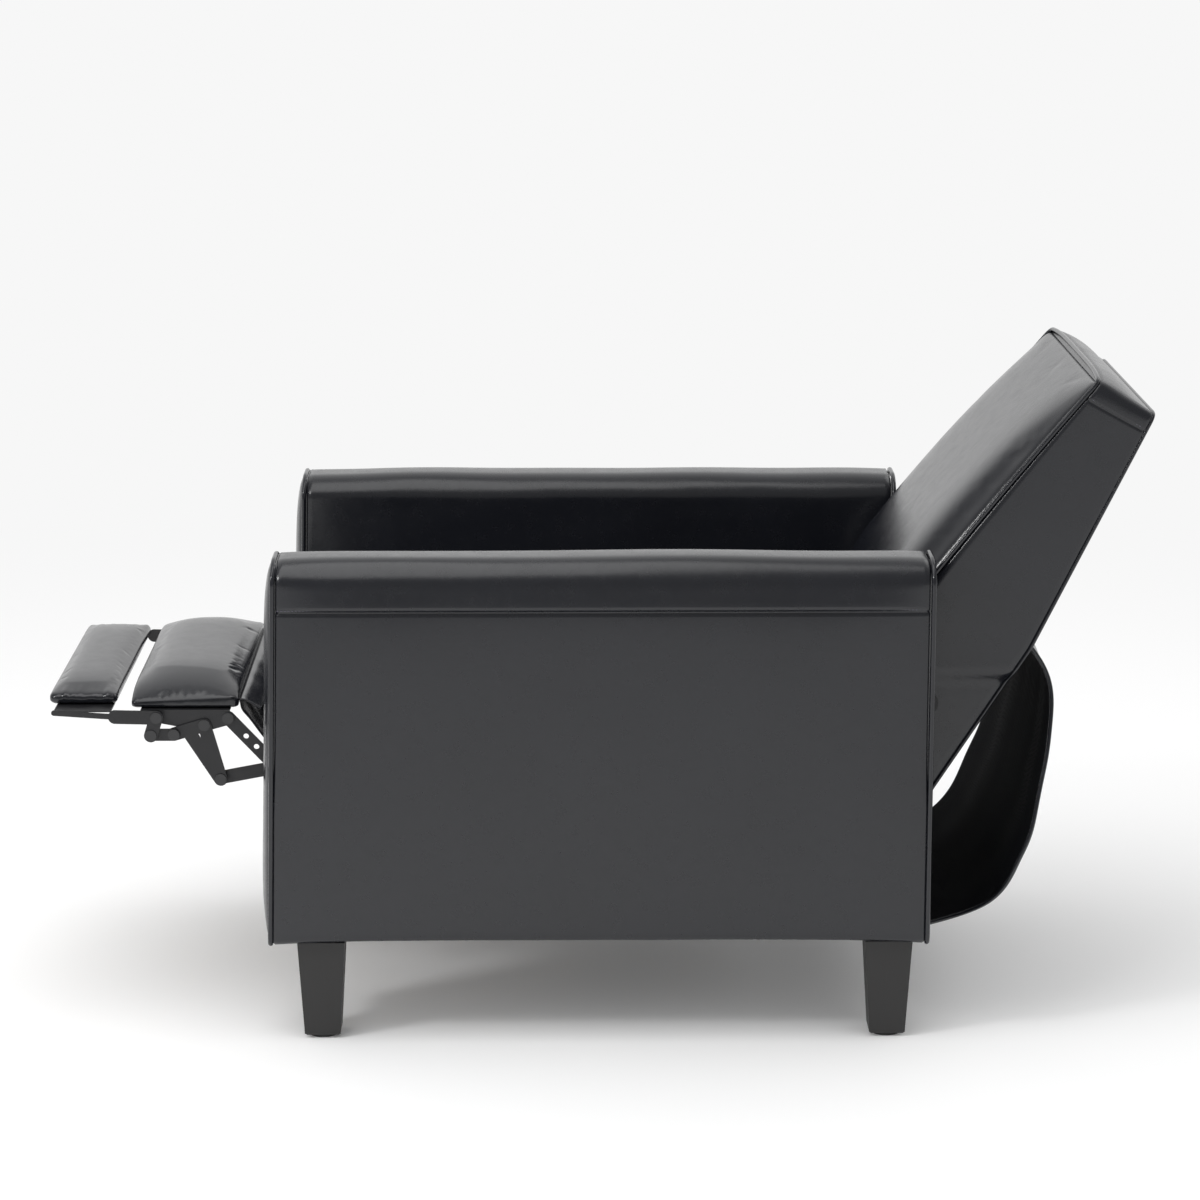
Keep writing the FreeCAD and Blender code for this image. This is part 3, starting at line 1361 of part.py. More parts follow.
bounds = FreeCAD.BoundBox()
for node in nodes:
    bounds.add(node.Shape.optimalBoundingBox(False, False))
shift = -(bounds.YMin + bounds.YMax) / 2
sheet.set(shift_cell, repr(shift))
doc.recompute()
print("shift", shift)
print("bounds", bounds)

# Check and write

for item in doc.Objects:
    if "Invalid" in item.State or "Error" in item.State:
        raise RuntimeError(f"{item.Label} is not valid")
os.makedirs("parts", exist_ok=True)
for node in nodes:
    if node.Shape.isNull() or not node.Shape.isValid():
        raise RuntimeError(f"{node.Label} has no valid shape")
    node.Shape.exportStep(f"parts/{node.Label}.step")
    box = node.Shape.optimalBoundingBox(False, False)
    print(node.Label, len(node.Shape.Solids), round(node.Shape.Volume), box)
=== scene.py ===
# %% [markdown]
# # A black leather push-back recliner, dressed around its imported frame
#
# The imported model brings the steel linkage, the timber, the legs and every joint. This lesson adds what is soft or
# sewn: two padded arms, the back, the seat, the two footrest pads, the slack flap and the leather sling behind the
# chair. Lengths are in millimetres, measured from the front seam of the arms, and `row` turns them into the frame's
# metres. Blender's own objects could be placed in metres directly, but a maker reads millimetres more easily.

import math

import bmesh
import bpy
import numpy as np
from mathutils import Matrix, Vector


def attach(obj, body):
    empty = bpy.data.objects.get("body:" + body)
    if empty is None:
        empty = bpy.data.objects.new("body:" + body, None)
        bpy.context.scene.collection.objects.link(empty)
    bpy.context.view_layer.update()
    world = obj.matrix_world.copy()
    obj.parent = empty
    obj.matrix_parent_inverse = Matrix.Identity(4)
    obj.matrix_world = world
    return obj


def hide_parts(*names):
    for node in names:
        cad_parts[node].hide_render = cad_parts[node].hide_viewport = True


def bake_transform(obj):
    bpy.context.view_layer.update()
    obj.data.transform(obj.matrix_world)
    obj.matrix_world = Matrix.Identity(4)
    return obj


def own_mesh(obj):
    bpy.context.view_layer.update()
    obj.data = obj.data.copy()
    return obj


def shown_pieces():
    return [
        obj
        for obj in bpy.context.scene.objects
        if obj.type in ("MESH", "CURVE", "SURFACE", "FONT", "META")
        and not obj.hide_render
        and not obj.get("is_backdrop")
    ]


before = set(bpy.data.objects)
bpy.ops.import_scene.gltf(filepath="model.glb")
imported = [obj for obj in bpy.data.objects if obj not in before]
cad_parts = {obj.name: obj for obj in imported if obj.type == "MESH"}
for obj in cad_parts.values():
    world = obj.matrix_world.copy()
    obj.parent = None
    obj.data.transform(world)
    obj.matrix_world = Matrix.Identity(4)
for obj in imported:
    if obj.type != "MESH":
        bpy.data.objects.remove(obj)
scene = bpy.context.scene
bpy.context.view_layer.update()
SHIFT_Y = -421.6


def row(points):
    """Millimetres from the arms' front seam as metres in the frame."""
    return (np.asarray(points, float) + np.array([0.0, SHIFT_Y, 0.0])) / 1000.0


def chair_mm(points):
    """Metres in the frame as millimetres from the arms' front seam."""
    return np.asarray(points, float) * 1000.0 - np.array([0.0, SHIFT_Y, 0.0])


# %% [markdown]
# ## Small shape words
#
# Upholstery is never flat. The pieces below are cut from plain blocks and grids, and functions move their points:
# one rounds the edges, one gives a crown between two ends, one draws a seam, and one adds the slow waves of leather
# that lies over padding. All waves come from seeded numbers, so each run gives the same chair.

# %% Crowns, seams and waves
def plateau(value, low, high, power=6):
    """1 in the middle of a range and 0 at its ends. A high power gives a flat middle and quick shoulders."""
    share = np.clip((value - low) / (high - low), 0, 1)
    return 1 - np.abs(2 * share - 1) ** power


def smoothstep(value, low, high):
    """0 below a range, 1 above it and a soft step in between."""
    share = np.clip((value - low) / (high - low), 0, 1)
    return share * share * (3 - 2 * share)


def seam_dip(distance, width):
    """1 on a seam and 0 away from it."""
    return np.exp(-((distance / width) ** 2))


def ripple(u, v, seed, wavelength, count=7):
    """Slow random waves from about -1 to 1 over a surface."""
    draw = np.random.default_rng(seed)
    total = np.zeros_like(u)
    for _ in range(count):
        turn = draw.uniform(0, math.tau)
        pace = math.tau / (wavelength * draw.uniform(0.7, 1.6))
        total += np.sin((u * math.cos(turn) + v * math.sin(turn)) * pace + draw.uniform(0, math.tau))
    return total / count * 1.6


def rounded(points, low, high, radius):
    """Round the edges of a block. The radius is one value, three, or three for each point."""
    low = np.asarray(low, float)
    high = np.asarray(high, float)
    radius = np.broadcast_to(np.asarray(radius, float), points.shape)
    core = np.clip(points, low + radius, high - radius)
    offset = (points - core) / radius
    length = np.linalg.norm(offset, axis=1, keepdims=True)
    return core + offset * np.where(length > 1, 1 / np.maximum(length, 1e-9), 1) * radius


print("a crown of power 6 at its quarter:", plateau(np.array([0.25]), 0, 1))


# %% [markdown]
# ## Blocks, sheets, cords and stitches
#
# A padded piece starts as a cube whose edges are subdivided into cells, closer together beside each seam. A sheet
# starts as a grid. A welt is a bevelled curve, which Blender turns into a tube. A stitch is a small stretched ball,
# and a row of them along a seam reads as thread.

# %% A block cut into cells
def cell_lines(low, high, step, seams=(), fine=1.5):
    """Places of the cell lines between two ends, closer together beside each seam."""
    count = max(2, int(round((high - low) / step)) + 1)
    places = list(np.linspace(low, high, count))
    for seam in seams:
        places += [seam + k * fine for k in (-4, -2.5, -1.2, 0, 1.2, 2.5, 4)]
    kept = [low]
    for place in sorted(p for p in places if low < p < high):
        if place - kept[-1] > fine * 0.5:
            kept.append(place)
    return np.array(kept + [high])


def cut_block(*lines):
    """A cube with cell lines at three lists of places, along X, Y and Z."""
    work = bmesh.new()
    bmesh.ops.create_cube(work, size=1.0)
    for axis, places in enumerate(lines):
        runs = [e for e in work.edges if abs((e.verts[1].co - e.verts[0].co)[axis]) > 0.5]
        bmesh.ops.subdivide_edges(work, edges=runs, cuts=len(places) - 2, use_grid_fill=True)
    for vert in work.verts:
        for axis, places in enumerate(lines):
            share = (vert.co[axis] + 0.5) * (len(places) - 1)
            vert.co[axis] = places[int(round(share))]
    return work


def plain_block(low, high, steps):
    """A cut block between two corners, with even cells of a size for each direction."""
    return cut_block(*(cell_lines(start, end, step) for start, end, step in zip(low, high, steps)))


def keep_piece(name, work, carry, material):
    """Move each point of a bmesh by a function of its millimetres and keep the result as a piece."""
    start = np.array([vert.co for vert in work.verts])
    for vert, place in zip(work.verts, row(carry(start))):
        vert.co = place
    bmesh.ops.remove_doubles(work, verts=work.verts, dist=1e-6)
    bmesh.ops.recalc_face_normals(work, faces=work.faces)
    mesh = bpy.data.meshes.new(name)
    work.to_mesh(mesh)
    work.free()
    mesh.shade_smooth()
    mesh.materials.append(material)
    piece = bpy.data.objects.new(name, mesh)
    scene.collection.objects.link(piece)
    return piece


# %% A welt along a path
def bent_path(corners, radius, closed, step=6.0):
    """Straight runs between corners, with a bend of that radius at each of them."""
    corners = [np.asarray(c, float) for c in corners]
    count = len(corners)
    bends = []
    for i, corner in enumerate(corners):
        if not closed and i in (0, count - 1):
            bends.append(corner)
            continue
        before = corners[i - 1] - corner
        after = corners[(i + 1) % count] - corner
        long_before, long_after = np.linalg.norm(before), np.linalg.norm(after)
        half = math.acos(np.clip(np.dot(before, after) / long_before / long_after, -1, 1)) / 2
        reach = min(radius / math.tan(half), 0.45 * long_before, 0.45 * long_after)
        start = corner + before / long_before * reach
        end = corner + after / long_after * reach
        for t in np.linspace(0, 1, 7):
            bends.append((1 - t) ** 2 * start + 2 * t * (1 - t) * corner + t * t * end)
    if closed:
        bends.append(bends[0])
    path = even_path(bends, step)
    return path[:-1] if closed else path


def even_path(corners, step):
    """Points about every step along straight runs between corners."""
    result = []
    for start, end in zip(corners, corners[1:]):
        count = max(1, int(np.linalg.norm(np.subtract(end, start)) / step))
        result += [start + (np.asarray(end) - start) * i / count for i in range(count)]
    return np.array(result + [corners[-1]])


def welt(name, path, radius, material, closed=False):
    """A round cord under leather along a path, turned from a bevelled curve into a mesh."""
    curve = bpy.data.curves.new(name, "CURVE")
    curve.dimensions = "3D"
    curve.bevel_depth = radius / 1000.0
    curve.bevel_resolution = 4
    curve.use_fill_caps = not closed
    run = curve.splines.new("POLY")
    run.points.add(len(path) - 1)
    for point, place in zip(run.points, row(path)):
        point.co = (*place, 1.0)
    run.use_cyclic_u = closed
    holder = bpy.data.objects.new(name, curve)
    work = bmesh.new()
    work.from_mesh(bpy.data.meshes.new_from_object(holder))
    bpy.data.objects.remove(holder)
    for vert in work.verts:
        vert.co = Vector(chair_mm(vert.co))
    return keep_piece(name, work, lambda points: points, material)


# %% Stitches along a path
def stitches(name, path, outward, material, pitch=4.6, half_length=1.5, radius=0.42):
    """A row of thread stitches that lie on a surface whose outward direction is given."""
    path = even_path(path, 1.0)
    run = np.concatenate([[0], np.cumsum(np.linalg.norm(np.diff(path, axis=0), axis=1))])
    outward = Vector(outward)
    work = bmesh.new()
    for place in np.arange(pitch, run[-1] - pitch, pitch):
        middle = Vector([np.interp(place, run, path[:, k]) for k in range(3)])
        ahead = (Vector([np.interp(place + 1, run, path[:, k]) for k in range(3)]) - middle).normalized()
        side = ahead.cross(outward)
        turn = Matrix((side * radius, outward * radius, ahead * half_length)).transposed().to_4x4()
        bmesh.ops.create_uvsphere(work, u_segments=6, v_segments=4, radius=1.0,
                                  matrix=Matrix.Translation(middle) @ turn)
    return keep_piece(name, work, lambda points: points, material)


# %% [markdown]
# ## Swelling a pad
#
# A stuffed pad is round because its filling pushes on the cover. The same thing is done here: the block is remeshed
# into even cells, Blender's cloth gets pressure from inside and no gravity for twenty frames, and no point may go
# further than a cap. Where the pad lies on its board, or is sewn down, it is held.

# %% Cloth with pressure inside
def swell(piece, voxel, pressure, cap, free, frames=20):
    """Swell a piece. free gives 0 to 1 for points in millimetres: 0 stays, 1 moves freely."""
    bpy.ops.object.select_all(action="DESELECT")
    bpy.context.view_layer.objects.active = piece
    piece.select_set(True)
    cells = piece.modifiers.new("Cells", "REMESH")
    cells.mode = "VOXEL"
    cells.voxel_size = voxel / 1000.0
    cells.use_smooth_shade = True
    bpy.ops.object.modifier_apply(modifier=cells.name)
    before = point_array(piece.data)
    cloth = piece.modifiers.new("Cloth", "CLOTH")
    cloth.settings.use_pressure = True
    cloth.settings.uniform_pressure_force = pressure
    cloth.settings.effector_weights.gravity = 0
    cloth.settings.quality = 4
    cloth.point_cache.frame_start = 1
    cloth.point_cache.frame_end = frames
    for number in range(1, frames + 1):
        scene.frame_set(number)
    evaluated = piece.evaluated_get(bpy.context.evaluated_depsgraph_get())
    move = point_array(evaluated.to_mesh()) - before
    evaluated.to_mesh_clear()
    piece.modifiers.remove(cloth)
    scene.frame_set(1)
    length = np.linalg.norm(move, axis=1, keepdims=True)
    move *= np.minimum(1, (cap / 1000.0) / np.maximum(length, 1e-9))
    final = before + move * free(chair_mm(before))[:, None]
    piece.data.vertices.foreach_set("co", final.reshape(-1))
    piece.data.update()
    most = float(np.linalg.norm(final - before, axis=1).max()) * 1000
    print(piece.name, "swelled by up to", round(most, 1), "mm")


def point_array(mesh):
    """The points of a mesh, one row each."""
    places = np.zeros(len(mesh.vertices) * 3)
    mesh.vertices.foreach_get("co", places)
    return places.reshape(-1, 3)


def soften(piece, levels=1):
    """Finish a piece with a smooth subdivision."""
    finer = piece.modifiers.new("Smooth", "SUBSURF")
    finer.levels = levels
    finer.render_levels = levels


# %% [markdown]
# ## Leather, paint, timber and webbing
#
# Bonded leather has a fine grain, faint creases and a colour that is not quite even. Painted links have a soft orange
# peel and worn patches. A photograph of leather could be wrapped round each piece, but nodes need no picture and stay
# sharp close up. Each effect is a node group with its own inputs, so several materials share it. Patterns lie on
# object coordinates, which are metres here because every piece sits at the origin.

# %% Node helpers
def node_group(name, inputs, outputs):
    """An empty node group with number sockets, and its two end nodes."""
    tree = bpy.data.node_groups.new(name, "ShaderNodeTree")
    for label, value in inputs:
        socket = tree.interface.new_socket(name=label, in_out="INPUT", socket_type="NodeSocketFloat")
        socket.default_value = value
    for label in outputs:
        tree.interface.new_socket(name=label, in_out="OUTPUT", socket_type="NodeSocketFloat")
    return tree, tree.nodes.new("NodeGroupInput"), tree.nodes.new("NodeGroupOutput")


def feed(tree, socket, value):
    """Set a socket to a number, or link another socket to it."""
    if isinstance(value, (int, float)):
        socket.default_value = value
    else:
        tree.links.new(value, socket)


def pattern(tree, kind, vector, scale, **values):
    """A texture node on a vector. The scale is a number or a socket."""
    node = tree.nodes.new(kind)
    tree.links.new(vector, node.inputs["Vector"])
    feed(tree, node.inputs["Scale"], scale)
    for name, value in values.items():
        node.inputs[name].default_value = value
    return node


def combine(tree, operation, first, second):
    """A math node on two numbers or sockets."""
    node = tree.nodes.new("ShaderNodeMath")
    node.operation = operation
    for socket, value in zip(node.inputs, (first, second)):
        feed(tree, socket, value)
    return node.outputs[0]


def spread(tree, value, low, high, start=0.3, end=0.7):
    """Spread the middle of a pattern's values over a new range."""
    node = tree.nodes.new("ShaderNodeMapRange")
    tree.links.new(value, node.inputs["Value"])
    for name, number in (("From Min", start), ("From Max", end), ("To Min", low), ("To Max", high)):
        node.inputs[name].default_value = number
    return node.outputs["Result"]


def tint(tree, factor, low, high):
    """A colour between two others, chosen by a pattern."""
    mix = tree.nodes.new("ShaderNodeMix")
    mix.data_type = "RGBA"
    tree.links.new(factor, mix.inputs["Factor"])
    mix.inputs["A"].default_value = (*low, 1.0)
    mix.inputs["B"].default_value = (*high, 1.0)
    return mix.outputs["Result"]


def relief(tree, main, height, depth):
    """Bump on the shader from a height pattern, as deep as depth in metres."""
    bump = tree.nodes.new("ShaderNodeBump")
    bump.inputs["Distance"].default_value = depth
    tree.links.new(height, bump.inputs["Height"])
    tree.links.new(bump.outputs["Normal"], main.inputs["Normal"])


def finish(name, color, rough, metallic=0.0, specular=0.5):
    """A plain material with its numbers on the shader's own sockets."""
    material = bpy.data.materials.new(name)
    material.use_nodes = True
    main = material.node_tree.nodes["Principled BSDF"]
    main.inputs["Base Color"].default_value = (*color, 1.0)
    main.inputs["Roughness"].default_value = rough
    main.inputs["Metallic"].default_value = metallic
    main.inputs["Specular IOR Level"].default_value = specular
    return material, material.node_tree, main


# %% Grain of leather and wear of paint
def leather_grain():
    """Pores and creases for the relief, slow patches for the colour and rubbed spots for the gloss."""
    inputs = [("Pores", 700.0), ("Creases", 0.4)]
    tree, entry, out = node_group("Leather grain", inputs, ["Height", "Patch", "Rub"])
    where = tree.nodes.new("ShaderNodeTexCoord").outputs["Object"]
    warp = pattern(tree, "ShaderNodeTexNoise", where, 90.0, Detail=2.0)
    bent = tree.nodes.new("ShaderNodeVectorMath")
    bent.operation = "MULTIPLY_ADD"
    tree.links.new(warp.outputs["Color"], bent.inputs[0])
    bent.inputs[1].default_value = (0.002, 0.002, 0.002)
    tree.links.new(where, bent.inputs[2])
    cells = pattern(tree, "ShaderNodeTexVoronoi", bent.outputs[0], entry.outputs["Pores"])
    cells.feature = "F1"
    crease = pattern(tree, "ShaderNodeTexNoise", bent.outputs[0], 30.0, Detail=3.0, Roughness=0.5)
    patch = pattern(tree, "ShaderNodeTexNoise", where, 7.0, Detail=3.0, Roughness=0.55)
    rub = pattern(tree, "ShaderNodeTexNoise", bent.outputs[0], 52.0, Detail=5.0, Roughness=0.65)
    folds = combine(tree, "MULTIPLY", crease.outputs["Fac"], entry.outputs["Creases"])
    grain = combine(tree, "MULTIPLY", cells.outputs["Distance"], 0.08)
    tree.links.new(combine(tree, "ADD", grain, folds), out.inputs["Height"])
    tree.links.new(patch.outputs["Fac"], out.inputs["Patch"])
    tree.links.new(rub.outputs["Fac"], out.inputs["Rub"])
    return tree


def paint_wear():
    """Orange peel for the relief and worn patches for the colour and gloss."""
    tree, entry, out = node_group("Worn paint", [("Peel", 900.0)], ["Height", "Patch"])
    where = tree.nodes.new("ShaderNodeTexCoord").outputs["Object"]
    peel = pattern(tree, "ShaderNodeTexNoise", where, entry.outputs["Peel"])
    patch = pattern(tree, "ShaderNodeTexNoise", where, 38.0, Detail=5.0, Roughness=0.65)
    tree.links.new(peel.outputs["Fac"], out.inputs["Height"])
    tree.links.new(patch.outputs["Fac"], out.inputs["Patch"])
    return tree


LEATHER_GRAIN = leather_grain()
PAINT_WEAR = paint_wear()


# %% The finishes
def leather(name, color, rough, creases, depth, specular=0.6):
    """Bonded leather with a grain and slightly uneven colour and gloss."""
    material, tree, main = finish(name, color, rough, specular=specular)
    grain = tree.nodes.new("ShaderNodeGroup")
    grain.node_tree = LEATHER_GRAIN
    grain.inputs["Creases"].default_value = creases
    paler = tuple(c * 1.5 for c in color)
    tree.links.new(tint(tree, grain.outputs["Patch"], color, paler), main.inputs["Base Color"])
    tree.links.new(spread(tree, grain.outputs["Rub"], rough - 0.03, rough + 0.04), main.inputs["Roughness"])
    relief(tree, main, grain.outputs["Height"], depth)
    return material


def painted(name, color, rough):
    """Sprayed paint or moulded plastic, a little worn."""
    material, tree, main = finish(name, color, rough)
    worn = tree.nodes.new("ShaderNodeGroup")
    worn.node_tree = PAINT_WEAR
    paler = tuple(c * 1.8 for c in color)
    tree.links.new(tint(tree, worn.outputs["Patch"], color, paler), main.inputs["Base Color"])
    tree.links.new(spread(tree, worn.outputs["Patch"], rough - 0.08, rough + 0.1), main.inputs["Roughness"])
    relief(tree, main, worn.outputs["Height"], 0.00008)
    return material


def timber(name, low, high, rough):
    """Wood whose streaks run upwards."""
    material, tree, main = finish(name, low, rough)
    where = tree.nodes.new("ShaderNodeTexCoord").outputs["Object"]
    stretch = tree.nodes.new("ShaderNodeMapping")
    stretch.inputs["Scale"].default_value = (1.0, 1.0, 0.08)
    tree.links.new(where, stretch.inputs["Vector"])
    streak = pattern(tree, "ShaderNodeTexNoise", stretch.outputs["Vector"], 160.0, Detail=6.0, Roughness=0.6)
    tree.links.new(tint(tree, streak.outputs["Fac"], low, high), main.inputs["Base Color"])
    tree.links.new(spread(tree, streak.outputs["Fac"], rough - 0.06, rough + 0.08), main.inputs["Roughness"])
    relief(tree, main, streak.outputs["Fac"], 0.0002)
    return material


def woven(name, color, specular=0.5):
    """Threads that cross at right angles."""
    material, tree, main = finish(name, color, 0.85, specular=specular)
    where = tree.nodes.new("ShaderNodeTexCoord").outputs["Object"]
    threads = []
    for direction in ("X", "Y"):
        wave = pattern(tree, "ShaderNodeTexWave", where, 210.0)
        wave.bands_direction = direction
        threads.append(wave.outputs["Fac"])
    relief(tree, main, combine(tree, "MULTIPLY", *threads), 0.0006)
    tree.links.new(tint(tree, threads[0], color, tuple(c * 1.6 for c in color)), main.inputs["Base Color"])
    return material


blue_black = (0.0062, 0.0068, 0.0094)
arm_leather = leather("Arm leather", blue_black, 0.25, 0.45, 0.0004)
pad_leather = leather("Pad leather", blue_black, 0.2, 0.5, 0.0004)
sling_leather = leather("Sling leather", blue_black, 0.3, 0.5, 0.0004)
sling_backing = woven("Black cloth backing", (0.0035, 0.004, 0.0052), 0.05)
welt_leather = leather("Welt leather", blue_black, 0.18, 0.35, 0.0002)
leg_wood = timber("Black stained wood", (0.014, 0.0138, 0.0138), (0.026, 0.025, 0.0245), 0.5)
frame_wood = timber("Frame timber", (0.36, 0.24, 0.13), (0.5, 0.36, 0.21), 0.7)
black_steel = painted("Black painted steel", (0.0085, 0.0085, 0.0095), 0.4)
rivet_steel = painted("Blackened rivets", (0.02, 0.02, 0.021), 0.34)
bolt_steel = painted("Zinc plated steel", (0.42, 0.42, 0.43), 0.36)
bolt_steel.node_tree.nodes["Principled BSDF"].inputs["Metallic"].default_value = 1.0
glide_plastic = painted("Dark plastic glide", (0.018, 0.018, 0.018), 0.55)
webbing = woven("Woven webbing", (0.03, 0.03, 0.034))
thread = finish("Sewing thread", (0.13, 0.12, 0.16), 0.5)[0]
print("materials:", len(bpy.data.materials))

# %% [markdown]
# ## The arms
#
# Each arm is one upholstered box. A band wraps over its top and ends in a flat seam on the outer side, so it bulges a
# little and leans in towards the top. The side below is padded thinly and pulled tight. Band and side could be two
# pieces, but both come from one block with fine cells at the seam, because a real cover is one continuous skin there
# and the eye catches any gap in it.

# %% Places of an arm
ARM_IN, ARM_OUT = 235.0, 340.0
ARM_LOW, ARM_TOP = 132.0, 638.0
ARM_REAR = 846.0
SEAM_Z = 571.0
LEAN = 12.0
SHOULDER_DROP = 4.0


def front_plane(z):
    """How far the arm's front leans back at a height."""
    return LEAN * (z - ARM_LOW) / (ARM_TOP - ARM_LOW)


def arm_section(points):
    """Round a block into the arm's section: full shoulders at the top, a tight edge at the bottom."""
    high = smoothstep(points[:, 2], 300, 420)
    radius = np.stack([8 + 27 * high, np.full_like(high, 4.0), 15 + 17 * high], axis=1)
    points = rounded(points, (ARM_IN, 0, ARM_LOW), (ARM_OUT, ARM_REAR, ARM_TOP), radius)
    points[:, 2] -= SHOULDER_DROP * smoothstep(points[:, 2], 600, 634)
    return points


print("an arm is", ARM_OUT - ARM_IN, "mm thick and", ARM_TOP, "mm high")


# %% The skin of an arm
SIDE_FILL, BAND_FILL, BAND_DRAW = 3.0, 6.0, 11.0
SEAM_DEPTH, SEAM_WIDTH = 1.8, 1.8
TOP_FILL, TOP_WAVE = 3.0, 1.5


def arm_skin(name, side, seed):
    """The cover of one arm: padded side, seam, leaning band and a soft top."""
    work = cut_block(cell_lines(ARM_IN, ARM_OUT, 6.0), cell_lines(0.0, ARM_REAR, 6.5),
                     cell_lines(ARM_LOW, ARM_TOP, 6.5, seams=(SEAM_Z,)))

    def carry(points):
        x, y, z = arm_section(points).T.copy()
        outer = smoothstep(x, 304, 338)
        inner = 1 - smoothstep(x, 236, 252)
        top = smoothstep(z, 612, 634)
        panel = plateau(y, 0, ARM_REAR, 10)
        below = plateau(z, ARM_LOW, SEAM_Z, 8) * (z < SEAM_Z)
        band = np.clip((z - SEAM_Z) / (ARM_TOP - SEAM_Z), 0, 1)
        bulge = (z >= SEAM_Z) * (BAND_FILL * smoothstep(band, 0, 0.1) - BAND_DRAW * band)
        seam = SEAM_DEPTH * seam_dip(z - SEAM_Z, SEAM_WIDTH)
        pull = np.exp(-np.abs(z - SEAM_Z) / 8) * ripple(y, z * 0.3, seed + 1, 15, 9)
        x = x + outer * (SIDE_FILL * panel * below + panel * bulge - seam + 0.25 * pull)
        x = x + outer * panel * 0.5 * ripple(y, z, seed, 190)
        x = x - inner * (0.4 + 0.5 * smoothstep(z, 470, 600)) * panel * ripple(y, z * 1.4, seed + 2, 130)
        crown = plateau(x, ARM_IN, ARM_OUT, 2)
        z = z + top * panel * crown * (TOP_FILL + TOP_WAVE * ripple(y, x * 0.5, seed + 3, 230, 5))
        z = z + (1 - smoothstep(z, ARM_LOW, ARM_LOW + 8)) * 6 * plateau(y, 0, ARM_REAR, 4)
        y = y + front_plane(z) * (1 - y / ARM_REAR)
        return np.stack([side * x, y, z], axis=1)

    return keep_piece(name, work, carry, arm_leather)


# %% The crowned panel at the front of an arm
FRONT_INSET = 6.5
FRONT_CROWN = 9.0


def arm_front(name, side, seed):
    """The padded panel inside the front welt."""
    low = (ARM_IN + FRONT_INSET, -4.0, ARM_LOW + FRONT_INSET)
    high = (ARM_OUT - FRONT_INSET, 8.0, ARM_TOP - FRONT_INSET)
    work = plain_block(low, high, (4.0, 2.4, 6.0))

    def carry(points):
        x, y, z = rounded(points, low, high, (13, 3.5, 16)).T.copy()
        crown = plateau(x, low[0], high[0], 2.2) * plateau(z, low[2], high[2], 9)
        y = y - (1 - smoothstep(y, -4, 3)) * crown * (FRONT_CROWN - 0.6 * ripple(x, z, seed, 110))
        return np.stack([side * x, y + front_plane(z), z], axis=1)

    return keep_piece(name, work, carry, arm_leather)


# %% [markdown]
# ### Welts and thread of the arms
#
# A welt is a cord wrapped in a strip of the same leather. One runs round the front of each arm and one round its
# rear, in the groove between two panels, so that it catches a thin bright line of light. It could be bent round
# corners of its own, but it takes its path from the skin's section, so that it lies on the skin all the way round.
# Beside the flat seam a row of thread shows.

# %% Two welts and one row of thread for each arm
WELT_RADIUS = 3.2
WELT_SINK = 0.8
THREAD_RISE = 3.6


def arm_welts(name, side):
    """The front and rear welt of one arm, sunk a little into the edge of its skin."""
    middle = ARM_REAR / 2
    corners = [(ARM_IN, ARM_LOW), (ARM_OUT, ARM_LOW), (ARM_OUT, ARM_TOP), (ARM_IN, ARM_TOP)]
    loop = arm_section(even_path([np.array([x, middle, z]) for x, z in corners + corners[:1]], 1.5))
    centre = np.array([(ARM_IN + ARM_OUT) / 2, middle, (ARM_LOW + ARM_TOP) / 2])
    half = np.array([(ARM_OUT - ARM_IN) / 2, 1, (ARM_TOP - ARM_LOW) / 2])
    loop = centre + (loop - centre) * (half - WELT_SINK) / half
    loop = even_path(list(loop[::4]) + [loop[0]], 8.0)[:-1]
    result = []
    for label in ("front", "rear"):
        path = loop.copy()
        path[:, 1] = front_plane(path[:, 2]) + 0.5 if label == "front" else ARM_REAR
        path[:, 0] *= side
        result.append(welt(f"{name}_{label}", path, WELT_RADIUS, welt_leather, closed=True))
    return result


SIDES = (("right", 1), ("left", -1))
for (side_name, side), seed in zip(SIDES, (11, 47)):
    skin = arm_skin(f"upholstered_arm_{side_name}", side, seed)
    front = arm_front(f"arm_front_pad_{side_name}", side, seed + 7)
    welts = arm_welts(f"arm_welt_{side_name}", side)
    seam_line = [(side * (ARM_OUT + 1.4), y, SEAM_Z + THREAD_RISE) for y in np.arange(14.0, 834.0, 5.0)]
    seam = stitches(f"arm_seam_thread_{side_name}", seam_line, (side, 0, 0), thread)
    for part in (skin, front, *welts, seam):
        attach(part, "base")
    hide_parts(f"arm_cover_{side_name}")
    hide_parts(f"arm_front_panel_{side_name}")
    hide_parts(f"arm_piping_{side_name}")
    print(skin.name, len(skin.data.polygons), "faces")

# %% [markdown]
# ## The back
#
# The back is a boxed cover behind a stuffed cushion, and its side is a panel with five corners. It leans, so its
# pieces are made in its own directions: t runs up the front edge in millimetres, and s is the percentage of the way
# to the rear edge. Modelled upright and turned afterwards, the five corners would be harder to hit.

# %% The back's own directions
LOW_FRONT = np.array([647.2, 330.0])
ALONG = np.array([0.62250, 0.78262])
INWARD = np.array([0.78262, -0.62250])
BACK_LENGTH = 663.3
BACK_HALF = 232.0
NECK_HALF = 221.5
REAR_LINE = np.array([[107.7, 183.7], [339.5, 160.7], [674.8, 86.8]])
REAR_RUN = np.array([0.0, 268.0, BACK_LENGTH])
TOP_BAND = BACK_LENGTH - 29.0
FRONT_BOW, BOW_START = 6.0, 120.0


